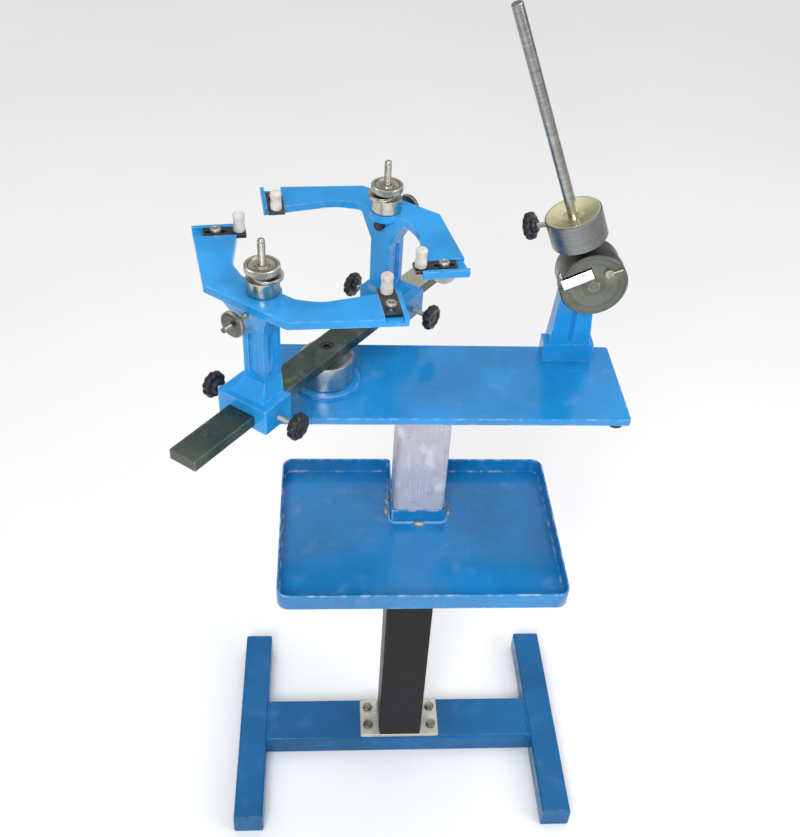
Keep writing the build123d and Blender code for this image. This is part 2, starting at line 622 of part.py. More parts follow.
def mast(name, frame):
    """Saddle, pillar and yoke: the blue casting that slides on the turntable bar."""
    half_yoke = [(ARM_OUTER_ROOT[0], 0), ARM_OUTER_ROOT, ARM_OUTER_TIP, ARM_INNER_TIP, ARM_INNER_ROOT,
                 WEB_INNER, (WEB_INNER[0], 0)]
    with BuildPart() as casting:
        # saddle block around the bar
        with BuildSketch(frame.offset(SADDLE_BOTTOM)):
            Rectangle(SADDLE_LENGTH, SADDLE_WIDTH)
        extrude(amount=SADDLE_TOP - SADDLE_BOTTOM)
        fillet(casting.edges().filter_by(Axis.Z), SADDLE_CORNER)
        # flared foot, pillar and flared head
        with BuildSketch(frame.offset(SADDLE_TOP)):
            with Locations((FOOT_X, 0)):
                Rectangle(FOOT_LENGTH, FOOT_WIDTH)
        with BuildSketch(frame.offset(SADDLE_TOP + FOOT_FLARE_HEIGHT)):
            with Locations((PILLAR_X, 0)):
                Rectangle(PILLAR_DEPTH, PILLAR_WIDTH)
        loft()
        with BuildSketch(frame.offset(SADDLE_TOP + FOOT_FLARE_HEIGHT)):
            with Locations((PILLAR_X, 0)):
                Rectangle(PILLAR_DEPTH, PILLAR_WIDTH)
        extrude(amount=PILLAR_TOP - SADDLE_TOP - FOOT_FLARE_HEIGHT)
        with BuildSketch(frame.offset(PILLAR_TOP)):
            with Locations((PILLAR_X, 0)):
                Rectangle(PILLAR_DEPTH, PILLAR_WIDTH)
        with BuildSketch(frame.offset(YOKE_BOTTOM)):
            with Locations((HEAD_X, 0)):
                Rectangle(HEAD_LENGTH, HEAD_WIDTH)
        loft()
        # yoke plate: a web with two arms that reach forward at a slant
        with BuildSketch(frame.offset(YOKE_BOTTOM)) as yoke:
            with BuildLine():
                Polyline(*half_yoke, close=False)
                mirror(about=Plane.XZ)
            make_face()
            for corner, rounding in ((ARM_INNER_ROOT, INNER_ROOT_ROUND), (WEB_INNER, WEB_ROUND),
                                     (ARM_OUTER_ROOT, SADDLE_CORNER), (ARM_OUTER_TIP, TIP_ROUND),
                                     (ARM_INNER_TIP, TIP_ROUND)):
                for side in (-1, 1):
                    fillet(yoke.vertices().sort_by_distance((corner[0], side * corner[1]))[0], rounding)
            with Locations((BOSS_X, 0)):
                Circle(LOBE_RADIUS)
        extrude(amount=YOKE_THICKNESS)
        # bar channel through the saddle
        with BuildSketch(frame.offset(SADDLE_BOTTOM)):
            Rectangle(SADDLE_LENGTH + 2 * CHANNEL_OVERRUN, 2 * LIP_INNER)
        extrude(amount=BAR_TOP - SADDLE_BOTTOM, mode=Mode.SUBTRACT)
        with BuildSketch(frame.offset(BAR_BOTTOM - SLIDE_GAP)):
            Rectangle(SADDLE_LENGTH + 2 * CHANNEL_OVERRUN, BAR_WIDTH + 2 * SLIDE_SIDE_GAP)
        extrude(amount=BAR_THICKNESS + 2 * SLIDE_GAP, mode=Mode.SUBTRACT)
        # panels sunk in the pillar's outer face and its two sides
        panel_height = PILLAR_TOP - PANEL_TOP - SADDLE_TOP - PANEL_BOTTOM
        panel_z = SADDLE_TOP + PANEL_BOTTOM + panel_height / 2
        for point, axis, inward in (((PILLAR_X - PILLAR_DEPTH / 2, 0, panel_z), "x", 1),
                                    ((PILLAR_X, PILLAR_WIDTH / 2, panel_z), "y", -1),
                                    ((PILLAR_X, -PILLAR_WIDTH / 2, panel_z), "y", 1)):
            with BuildSketch(upright_plane(frame, point, axis)):
                SlotOverall(panel_height, PANEL_WIDTH)
            extrude(amount=inward * PANEL_DEPTH, mode=Mode.SUBTRACT)
        # screw holes for the lock knobs, and the adjuster's hole and slot under the support
        for axis in ("y", "-y"):
            across = local_plane(frame, (0, 0, BAR_BOTTOM + BAR_THICKNESS / 2), axis)
            cylinder_along(across, KNOB_SCREW_RADIUS + SCREW_FIT, BAR_WIDTH / 2, SADDLE_WIDTH, Mode.SUBTRACT)
        along = local_plane(frame, (0, 0, ADJUSTER_Z), "x")
        cylinder_along(along, ADJUSTER_RADIUS + SCREW_FIT, ADJUSTER_OUTER, -ADJUSTER_OUTER, Mode.SUBTRACT)
        with BuildSketch(frame.offset(ADJUSTER_Z - ADJUSTER_SLOT_BELOW)):
            with Locations((ADJUSTER_SLOT_X, 0)):
                Rectangle(ADJUSTER_SLOT_LENGTH, ADJUSTER_SLOT_WIDTH)
        extrude(amount=YOKE_TOP - ADJUSTER_Z + ADJUSTER_SLOT_BELOW, mode=Mode.SUBTRACT)
        # open channels across the arm tips, each with a hole for the lock screw
        for side in (-1, 1):
            channel = channel_frame(frame, side)
            with BuildSketch(channel.offset(YOKE_TOP)):
                Rectangle(TIP_LENGTH + 2 * CHANNEL_OVERRUN, CHANNEL_WIDTH)
            extrude(amount=-CHANNEL_DEPTH, mode=Mode.SUBTRACT)
            cylinder_along(channel, LOCK_SCREW_RADIUS + PAD_GAP, YOKE_BOTTOM, YOKE_TOP, Mode.SUBTRACT)
    save(casting, name)


def carriage(side_name, frame):
    """One racket carriage: casting, knobs, adjuster, head support, hold-down and pads."""
    mast(f"{side_name}_mast", frame)
    knob_z = BAR_BOTTOM + BAR_THICKNESS / 2
    for hand, axis in (("left", "y"), ("right", "-y")):
        across = local_plane(frame, (0, 0, knob_z), axis)
        fluted_knob(f"{side_name}_{hand}_lock_knob", across, BAR_WIDTH / 2 + SLIDE_SIDE_GAP, KNOB_START,
                    KNOB_SCREW_RADIUS, KNOB_RADIUS, KNOB_LENGTH)

    # adjuster: turned screw with a knurled disc outside and a black cap inside
    along = local_plane(frame, (0, 0, ADJUSTER_Z), "x")
    with BuildPart() as adjuster_screw:
        cylinder_along(along, ADJUSTER_RADIUS, ADJUSTER_OUTER, ADJUSTER_INNER)
        cylinder_along(along, DISC_RADIUS, DISC_START, DISC_END)
        cylinder_along(along, DISC_HUB_RADIUS, DISC_END, DISC_HUB_END)
    save(adjuster_screw, f"{side_name}_adjuster_screw")
    with BuildPart() as adjuster_cap:
        cylinder_along(along, CAP_RADIUS, CAP_START, CAP_END)
        fillet(adjuster_cap.edges().filter_by(GeomType.CIRCLE), ROUND_BREAK)
        cylinder_along(along, ADJUSTER_RADIUS, CAP_START, ADJUSTER_INNER, Mode.SUBTRACT)
    save(adjuster_cap, f"{side_name}_adjuster_cap")

    # turned head support with a lug that the adjuster moves along the bar
    boss = local_plane(frame, (BOSS_X, 0, 0), "z")
    support_bottom = YOKE_TOP + SUPPORT_GAP
    support_top = support_bottom + SUPPORT_HEIGHT
    stud_bottom = YOKE_TOP + STUD_FOOT
    with BuildPart() as support_block:
        cylinder_along(boss, SUPPORT_RADIUS, support_bottom, support_top)
        chamfer(support_block.edges().filter_by(GeomType.CIRCLE), EDGE_BREAK)
        with BuildSketch(boss.offset(support_bottom)):
            Rectangle(LUG_LENGTH, LUG_WIDTH)
        extrude(amount=-(support_bottom - ADJUSTER_Z + LUG_BELOW))
        cylinder_along(along, ADJUSTER_RADIUS + SCREW_FIT, 0.0, LUG_SCREW_END, Mode.SUBTRACT)
        cylinder_along(boss, STUD_RADIUS, stud_bottom, support_top, Mode.SUBTRACT)
    save(support_block, f"{side_name}_support_block")
    with BuildPart() as holddown_stud:
        cylinder_along(boss, STUD_RADIUS, stud_bottom, STUD_TOP)
        chamfer(holddown_stud.edges().filter_by(GeomType.CIRCLE).sort_by(Axis.Z)[-1], EDGE_BREAK)
    save(holddown_stud, f"{side_name}_holddown_stud")

    # clamp washer, set off to one side, and the knurled nut above it
    washer_bottom = support_top + SUPPORT_GAP
    washer_top = washer_bottom + WASHER_HEIGHT
    nut_bottom = washer_top + NUT_GAP
    nut_top = nut_bottom + NUT_HEIGHT
    with BuildPart() as holddown_washer:
        with BuildSketch(boss.offset(washer_bottom)):
            with Locations(WASHER_OFFSET):
                Circle(WASHER_RADIUS)
            Circle(STUD_RADIUS + SCREW_FIT, mode=Mode.SUBTRACT)
        extrude(amount=WASHER_HEIGHT)
    save(holddown_washer, f"{side_name}_holddown_washer")
    with BuildPart() as holddown_nut:
        cone_along(boss, NUT_HUB_RADIUS, NUT_RADIUS, nut_bottom, nut_bottom + NUT_HUB_HEIGHT)
        cylinder_along(boss, NUT_RADIUS, nut_bottom + NUT_HUB_HEIGHT, nut_top)
        chamfer(holddown_nut.edges().filter_by(GeomType.CIRCLE).sort_by(Axis.Z)[-1], ROUND_BREAK)
        cylinder_along(boss, STUD_RADIUS + SCREW_FIT, nut_bottom, nut_top, Mode.SUBTRACT)
    save(holddown_nut, f"{side_name}_holddown_nut")

    # pad slides with their nylon pegs, and the screws and nuts that lock them
    slide_bottom = YOKE_TOP - CHANNEL_DEPTH + PAD_GAP
    slide_top = slide_bottom + PAD_SLIDE_THICKNESS
    head_bottom = slide_top + LOCK_HEAD_GAP
    with BuildPart() as pad_locks:
        for side in (1, -1):
            channel = channel_frame(frame, side)
            cylinder_along(channel, LOCK_SCREW_RADIUS, YOKE_BOTTOM - LOCK_SCREW_TAIL, head_bottom)
            cylinder_along(channel, LOCK_HEAD_RADIUS, head_bottom, slide_top + LOCK_HEAD_TOP)
            cylinder_along(channel, LOCK_NUT_RADIUS, YOKE_BOTTOM - LOCK_NUT_BOTTOM, YOKE_BOTTOM - PAD_GAP)
    save(pad_locks, f"{side_name}_pad_locks")
    for hand, side in (("left", 1), ("right", -1)):
        channel = channel_frame(frame, side)
        peg_x = PAD_SLIDE_SHIFT + PAD_SLIDE_LENGTH / 2 - PEG_RADIUS - PAD_END_MARGIN
        with BuildPart() as pad_slide:
            with BuildSketch(channel.offset(slide_bottom)):
                with Locations((PAD_SLIDE_SHIFT, 0)):
                    Rectangle(PAD_SLIDE_LENGTH, CHANNEL_WIDTH - 2 * PAD_SIDE_GAP)
                SlotOverall(PAD_SLOT_LENGTH, 2 * LOCK_SCREW_RADIUS + 2 * PAD_SIDE_GAP, mode=Mode.SUBTRACT)
                with Locations((peg_x, 0)):
                    Circle(PEG_TAIL_RADIUS, mode=Mode.SUBTRACT)
            extrude(amount=PAD_SLIDE_THICKNESS)
        save(pad_slide, f"{side_name}_{hand}_pad_slide")
        peg = local_plane(channel, (peg_x, 0, 0), "z")
        with BuildPart() as pad_peg:
            cylinder_along(peg, PEG_RADIUS, slide_top, PEG_TOP)
            fillet(pad_peg.edges().filter_by(GeomType.CIRCLE).sort_by(Axis.Z)[-1], PEG_ROUND)
            cylinder_along(peg, PEG_TAIL_RADIUS, slide_bottom, slide_top)
        save(pad_peg, f"{side_name}_{hand}_pad_peg")


near_origin = Vector(PIVOT_X, 0, 0) - BAR_DIRECTION * NEAR_SHIFT
far_origin = Vector(PIVOT_X, 0, 0) + BAR_DIRECTION * FAR_SHIFT
carriage("near", Plane(origin=near_origin, x_dir=BAR_DIRECTION, z_dir=(0, 0, 1)))
carriage("far", Plane(origin=far_origin, x_dir=-BAR_DIRECTION, z_dir=(0, 0, 1)))

# ---------------------------------------------------------------- tension head
head = Plane(origin=(MAST_X, 0, HEAD_Z), x_dir=(1, 0, 0), z_dir=(0, 1, 0))
BACK_BEARING = HEAD_BOSS_BACK - HEAD_BEARING_WIDTH
FRONT_BEARING = HEAD_BOSS_FRONT + HEAD_BEARING_INSET

with BuildPart() as tension_mast:
    with BuildSketch(Plane.XY.offset(PLATE_TOP)):
        with Locations((MAST_X, MAST_Y)):
            RectangleRounded(MAST_BLOCK_WIDTH, MAST_BLOCK_DEPTH, MAST_BLOCK_CORNER)
    extrude(amount=MAST_BLOCK_TOP - PLATE_TOP)
    with BuildSketch(Plane.XY.offset(MAST_BLOCK_TOP)):
        with Locations((MAST_X, MAST_Y)):
            Rectangle(MAST_FOOT_WIDTH, MAST_FOOT_DEPTH)
    with BuildSketch(Plane.XY.offset(HEAD_Z - MAST_NECK_DROP)):
        with Locations((MAST_X, MAST_Y)):
            Rectangle(MAST_NECK_WIDTH, MAST_NECK_DEPTH)
    loft()
    cylinder_along(head, HEAD_BOSS_RADIUS, HEAD_BOSS_FRONT, HEAD_BOSS_BACK)
    groove_z = MAST_BLOCK_TOP + MAST_GROOVE_RISE + MAST_GROOVE_HEIGHT / 2
    for face_y, inward in ((MAST_Y - MAST_BLOCK_DEPTH / 2, -1), (MAST_Y + MAST_BLOCK_DEPTH / 2, 1)):
        with BuildSketch(Plane.XZ.offset(-face_y)):
            with Locations((MAST_X, groove_z)):
                SlotOverall(MAST_GROOVE_HEIGHT, MAST_GROOVE_WIDTH, rotation=90)
        extrude(amount=inward * MAST_GROOVE_DEPTH, mode=Mode.SUBTRACT)
    cylinder_along(head, HEAD_BEARING_RADIUS, BACK_BEARING, HEAD_BOSS_BACK, Mode.SUBTRACT)
    cylinder_along(head, HEAD_BEARING_RADIUS, HEAD_BOSS_FRONT, FRONT_BEARING + HEAD_BEARING_WIDTH, Mode.SUBTRACT)
    cylinder_along(head, SHAFT_RADIUS + SHAFT_CLEARANCE, HEAD_BOSS_FRONT, HEAD_BOSS_BACK, Mode.SUBTRACT)
    with BuildSketch(Plane.XY.offset(PLATE_TOP)):
        with Locations((MAST_X - MAST_BOLT_SPREAD / 2, MAST_Y), (MAST_X + MAST_BOLT_SPREAD / 2, MAST_Y)):
            Circle(BOLT_HOLE_RADIUS)
    extrude(amount=MAST_BOLT_DEPTH, mode=Mode.SUBTRACT)
save(tension_mast, "tension_mast")

with BuildPart() as tension_mast_bolts:
    for bolt_x in (MAST_X - MAST_BOLT_SPREAD / 2, MAST_X + MAST_BOLT_SPREAD / 2):
        below = Plane(origin=(bolt_x, MAST_Y, PLATE_BOTTOM), x_dir=(1, 0, 0), z_dir=(0, 0, -1))
        hex_bolt(below, PLATE_THICKNESS + MAST_BOLT_DEPTH - MAST_BOLT_GAP)
save(tension_mast_bolts, "tension_mast_bolts")

with BuildPart() as head_bearings:
    for bearing_start in (FRONT_BEARING, BACK_BEARING):
        ball_bearing(head, bearing_start, SHAFT_RADIUS + SCREW_FIT, HEAD_BEARING_RADIUS, HEAD_BEARING_WIDTH,
                     HEAD_BALLS)
save(head_bearings, "head_bearings")

with BuildPart() as head_shaft:
    cylinder_along(head, SHAFT_RADIUS, DISC_FRONT - SHAFT_FRONT, HEAD_BOSS_BACK + SHAFT_TAIL)
    with BuildSketch(head.offset(HEAD_BOSS_BACK + SHAFT_NUT_GAP)):
        RegularPolygon(SHAFT_NUT_WIDTH / 2, 6, major_radius=False)
    extrude(amount=SHAFT_NUT_HEIGHT)
save(head_shaft, "head_shaft")

# lever frame: z along the rod, y to the back
lean = radians(LEVER_LEAN)
ROD_DIRECTION = Vector(-sin(lean), 0, cos(lean))
ROD_SIDE = Vector(-cos(lean), 0, -sin(lean))
lever = Plane(origin=(MAST_X, LEVER_Y, HEAD_Z), x_dir=ROD_SIDE, z_dir=ROD_DIRECTION)

with BuildPart() as drum:
    cylinder_along(head, DRUM_RADIUS, DRUM_FRONT, DRUM_BACK)
    chamfer(drum.edges().filter_by(GeomType.CIRCLE), EDGE_BREAK)
    cylinder_along(head, SHAFT_RADIUS, DRUM_FRONT, DRUM_BACK, Mode.SUBTRACT)
    cylinder_along(lever, ROD_RADIUS, ROD_START, WEIGHT_BOTTOM, Mode.SUBTRACT)
save(drum, "drum")

jaw_direction = Vector(-cos(radians(JAW_TILT)), 0, -sin(radians(JAW_TILT)))
jaw_plane = Plane(origin=(MAST_X, DISC_FRONT, HEAD_Z), x_dir=jaw_direction, z_dir=(0, -1, 0))
RECESS_WIDTH = JAW_WIDTH + JAW_GAP + JAW_OPENING
pin_lean = radians(JAW_PIN_LEAN)
jaw_screw_plane = Plane(
    origin=(MAST_X + JAW_SCREW_X, DISC_FRONT, HEAD_Z + JAW_SCREW_Z),
    x_dir=(cos(pin_lean), 0, sin(pin_lean)),
    z_dir=(0, -1, 0),
)
with BuildPart() as front_disc:
    cylinder_along(head, FRONT_DISC_RADIUS, DISC_FRONT, DRUM_FRONT)
    chamfer(front_disc.edges().filter_by(GeomType.CIRCLE), FRONT_DISC_BREAK)
    cylinder_along(head, SHAFT_RADIUS, DISC_FRONT, DRUM_FRONT, Mode.SUBTRACT)
    recess_x = JAW_START - JAW_END_GAP + RECESS_LENGTH / 2
    recess_y = -JAW_OFFSET - (JAW_OPENING - JAW_GAP) / 2
    with BuildSketch(jaw_plane):
        with Locations((recess_x, recess_y)):
            Rectangle(RECESS_LENGTH, RECESS_WIDTH)
    extrude(amount=-JAW_DEPTH, mode=Mode.SUBTRACT)
    cylinder_along(jaw_screw_plane, JAW_SCREW_RADIUS, -JAW_SCREW_DEPTH, 0.0, Mode.SUBTRACT)
save(front_disc, "front_disc")

# screw with a cross pin beside the jaw
with BuildPart() as jaw_screw:
    cylinder_along(jaw_screw_plane, JAW_SCREW_HEAD, 0.0, JAW_SCREW_HEIGHT)
    chamfer(jaw_screw.edges().filter_by(GeomType.CIRCLE).sort_by(Axis.Y)[0], FINE_BREAK)
    cylinder_along(jaw_screw_plane, JAW_SCREW_RADIUS, -JAW_SCREW_DEPTH, 0.0)
    pin_start = jaw_screw_plane.from_local_coords((0, 0, JAW_SCREW_HEIGHT / 2))
    pin_plane = Plane(origin=pin_start, x_dir=(0, -1, 0), z_dir=jaw_screw_plane.x_dir)
    cylinder_along(pin_plane, JAW_PIN_RADIUS, 0.0, JAW_PIN_LENGTH)
save(jaw_screw, "jaw_screw")

with BuildPart() as gripper_jaw:
    with BuildSketch(jaw_plane):
        with Locations((JAW_START + JAW_LENGTH / 2, -JAW_OFFSET)):
            Rectangle(JAW_LENGTH, JAW_WIDTH)
    extrude(amount=-(JAW_DEPTH - JAW_FLOOR_GAP))
    chamfer(gripper_jaw.edges().group_by(Axis.Y)[0], FINE_BREAK)
save(gripper_jaw, "gripper_jaw")

with BuildPart() as lever_rod:
    cylinder_along(lever, ROD_RADIUS, ROD_START, ROD_END)
    chamfer(lever_rod.edges().filter_by(GeomType.CIRCLE).sort_by(Axis.Z)[-1], EDGE_BREAK)
save(lever_rod, "lever_rod")

WEIGHT_TOP = WEIGHT_BOTTOM + WEIGHT_HEIGHT
WEIGHT_SCREW_HEIGHT = WEIGHT_BOTTOM + WEIGHT_KNOB_SHARE * WEIGHT_HEIGHT
turn = radians(WEIGHT_KNOB_TURN)
KNOB_DIRECTION = ROD_SIDE * cos(turn) + Vector(0, 1, 0) * sin(turn)
weight_knob_plane = Plane(
    origin=lever.from_local_coords((0, 0, WEIGHT_SCREW_HEIGHT)), x_dir=ROD_DIRECTION, z_dir=KNOB_DIRECTION
)
with BuildPart() as weight:
    cylinder_along(lever, WEIGHT_RADIUS, WEIGHT_BOTTOM, WEIGHT_TOP)
    chamfer(weight.edges().filter_by(GeomType.CIRCLE), ROUND_BREAK)
    cone_along(lever, WEIGHT_DISH_RADIUS, WEIGHT_RADIUS - WEIGHT_DISH_RIM, WEIGHT_TOP - WEIGHT_DISH_DEPTH,
               WEIGHT_TOP, Mode.SUBTRACT)
    cylinder_along(lever, ROD_RADIUS + SCREW_FIT, WEIGHT_BOTTOM, WEIGHT_TOP, Mode.SUBTRACT)
    cylinder_along(weight_knob_plane, KNOB_SCREW_RADIUS + SCREW_FIT, ROD_RADIUS - FINE_BREAK,
                   WEIGHT_KNOB_START, Mode.SUBTRACT)
save(weight, "weight")

fluted_knob("weight_lock_knob", weight_knob_plane, ROD_RADIUS + SCREW_TIP_GAP, WEIGHT_KNOB_START,
            KNOB_SCREW_RADIUS, KNOB_RADIUS, KNOB_LENGTH)
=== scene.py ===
import json
import math
import random

import bmesh
import bpy
from mathutils import Matrix, Vector


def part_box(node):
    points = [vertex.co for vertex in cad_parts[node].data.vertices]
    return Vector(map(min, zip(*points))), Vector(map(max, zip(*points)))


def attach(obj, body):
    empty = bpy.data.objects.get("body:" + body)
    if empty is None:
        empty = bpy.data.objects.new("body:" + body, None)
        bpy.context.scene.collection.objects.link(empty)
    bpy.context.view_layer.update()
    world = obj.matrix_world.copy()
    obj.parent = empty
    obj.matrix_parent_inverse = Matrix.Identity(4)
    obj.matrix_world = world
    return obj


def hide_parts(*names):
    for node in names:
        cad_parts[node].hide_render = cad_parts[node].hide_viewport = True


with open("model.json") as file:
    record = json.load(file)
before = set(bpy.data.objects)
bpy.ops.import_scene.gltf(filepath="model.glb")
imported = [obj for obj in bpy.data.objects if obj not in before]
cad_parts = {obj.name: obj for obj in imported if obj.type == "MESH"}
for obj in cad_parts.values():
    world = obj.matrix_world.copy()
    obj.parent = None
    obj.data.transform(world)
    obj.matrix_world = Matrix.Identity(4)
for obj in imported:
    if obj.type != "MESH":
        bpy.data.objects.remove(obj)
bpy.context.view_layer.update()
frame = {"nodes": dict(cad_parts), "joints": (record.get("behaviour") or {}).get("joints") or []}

# Racket stringing machine on a floor stand. Everything is in metres, in the frame of the
# CAD model: +Z up, +X along the table to the right, +Y to the back, origin on the floor.
MM = 0.001
SIDES = ("near", "far")
HANDS = ("left", "right")
UP = (0, 0, 1)
BACK = (0, 1, 0)
nodes = frame["nodes"]
joints = {joint["name"]: joint for joint in frame["joints"]}
collection = bpy.context.scene.collection

# Colours, linear: paint, metal and plastic first, then what dirt and wear add to them
CASTING_BLUE = (0.012, 0.268, 0.640)
PLATE_BLUE = (0.008, 0.222, 0.540)
TRAY_BLUE = (0.006, 0.188, 0.465)
BASE_BLUE = (0.005, 0.108, 0.285)
SEAM_BLUE = (0.10, 0.30, 0.58)
OLIVE_STEEL = (0.30, 0.30, 0.24)
BRASSY_STEEL = (0.84, 0.80, 0.50)
# Pale tint of the painted reflection on the top face of the flat bar's far end
PAINTED_SHEEN_TINT = (0.68, 0.70, 0.54)
TUBE_STEEL = (0.66, 0.63, 0.69)
DARK_STEEL = (0.096, 0.124, 0.098)
BLACKENED = (0.014, 0.016, 0.019)
NYLON = (0.60, 0.575, 0.52)
DUST = (0.34, 0.46, 0.58)
SCUFF = (0.50, 0.54, 0.62)
RUST = (0.20, 0.11, 0.06)
BRIGHT_EDGE = (0.85, 0.84, 0.80)
WORN_EDGE = (0.62, 0.60, 0.55)

# Screw threads: outer radius and pitch
BIG_SCREW = 3.95 * MM
SMALL_SCREW = 2.95 * MM
COARSE_PITCH = 1.25 * MM
FINE_PITCH = 1.0 * MM

# Hex bolts: head height, then half the spacing and the shank length of each group. The two bolts
# of the mast stand in one row, so far behind the column's axis.
HEX_HEAD = 5.3 * MM
BASE_BOLTS = (49.0 * MM, 16.0 * MM)
BASE_SHANK = 16.0 * MM
HEAD_BOLTS = (40.0 * MM, 40.0 * MM)
HEAD_SHANK = 11.9 * MM
MAST_BOLTS = 20.0 * MM
MAST_BOLTS_BACK = 52.0 * MM
MAST_SHANK = 23.4 * MM

# Lock knobs: where the grip and its screw start on the axis of the joint
SADDLE_GRIP, SADDLE_SCREW = -1.5 * MM, -37.6 * MM
WEIGHT_GRIP, WEIGHT_SCREW = 47.0 * MM, 6.5 * MM

# Adjuster cap, along the adjuster's axis
CAP_START, CAP_END = 29.0 * MM, 37.0 * MM

# Square column
COLUMN_HALF = 31.75 * MM
COLUMN_CORNER = 6.5 * MM

# The painted reflection on the top of the flat bar: its distance from the pivot, and the run of the change
PAINTED_SHEEN_START = 0.145
PAINTED_SHEEN_RUN = 0.045

# Rounding of the edges of CAD nodes, in millimetres
EDGE_ROUNDING = {"near_mast": 1.4, "far_mast": 1.4, "tension_mast": 1.2, "table_plate": 0.6,
                 "tray": 0.7, "tray_collar": 0.6, "base_flange": 0.4, "head_flange": 0.6,
                 "gripper_jaw": 0.3, "near_holddown_washer": 0.5, "far_holddown_washer": 0.5}

# Room: tones below and above, and its strength
ROOM_LOW = (0.22, 0.22, 0.23, 1)
ROOM_HIGH = (0.95, 0.95, 0.95, 1)
ROOM_STRENGTH = 1.32

# Camera
CAMERA_PLACE = (-0.11708, -0.96737, 1.45928)
CAMERA_YAW, CAMERA_PITCH, CAMERA_ROLL = -0.092, 0.694, -0.064
CAMERA_SENSOR = 36.0
CAMERA_LENS = 45.26


# ---------------------------------------------------------------- camera, light and floor
def set_camera():
    """Looks down on the machine from the front, a little to the left."""
    yaw, pitch, roll = CAMERA_YAW, CAMERA_PITCH, CAMERA_ROLL
    forward = Vector((-math.sin(yaw) * math.cos(pitch), math.cos(yaw) * math.cos(pitch), -math.sin(pitch)))
    level_right = Vector((math.cos(yaw), math.sin(yaw), 0))
    level_down = forward.cross(level_right)
    right = level_right * math.cos(roll) + level_down * math.sin(roll)
    down = level_down * math.cos(roll) - level_right * math.sin(roll)
    data = bpy.data.cameras.new("camera")
    data.sensor_width = CAMERA_SENSOR
    data.lens = CAMERA_LENS
    camera = bpy.data.objects.new("camera", data)
    collection.objects.link(camera)
    turn = Matrix((right, -down, -forward)).transposed()
    camera.matrix_world = Matrix.Translation(CAMERA_PLACE) @ turn.to_4x4()
    bpy.context.scene.camera = camera


def area_light(name, place, target, size, power, colour=(1, 1, 1)):
    """Square soft box that faces a target."""
    data = bpy.data.lights.new(name, "AREA")
    data.size = size
    data.energy = power
    data.color = colour
    light = bpy.data.objects.new(name, data)
    light.location = place
    light.rotation_euler = (Vector(target) - Vector(place)).to_track_quat("-Z", "Y").to_euler()
    collection.objects.link(light)


def set_light():
    """Soft studio light: a pale room with three soft boxes."""
    middle = (0, 0, 0.6)
    area_light("key", (-0.6, -2.1, 2.1), middle, size=0.8, power=38.0)
    area_light("fill", (2.0, -1.2, 1.6), middle, size=1.2, power=16.0, colour=(0.95, 0.97, 1.0))
    area_light("top", (0.5, 0.5, 3.2), middle, size=1.2, power=13.0)
    world = bpy.data.worlds.new("room")
    bpy.context.scene.world = world
    world.use_nodes = True
    tree = world.node_tree
    background = tree.nodes["Background"]
    place = tree.nodes.new("ShaderNodeTexCoord")
    split = tree.nodes.new("ShaderNodeSeparateXYZ")
    ramp = tree.nodes.new("ShaderNodeValToRGB")
    tree.links.new(place.outputs["Generated"], split.inputs[0])
    tree.links.new(split.outputs["Z"], ramp.inputs[0])
    tree.links.new(ramp.outputs[0], background.inputs["Color"])
    low, high = ramp.color_ramp.elements
    low.color = ROOM_LOW
    high.color = ROOM_HIGH
    low.position = 0.42
    high.position = 0.98
    background.inputs["Strength"].default_value = ROOM_STRENGTH
    bpy.context.scene.view_settings.view_transform = "Standard"


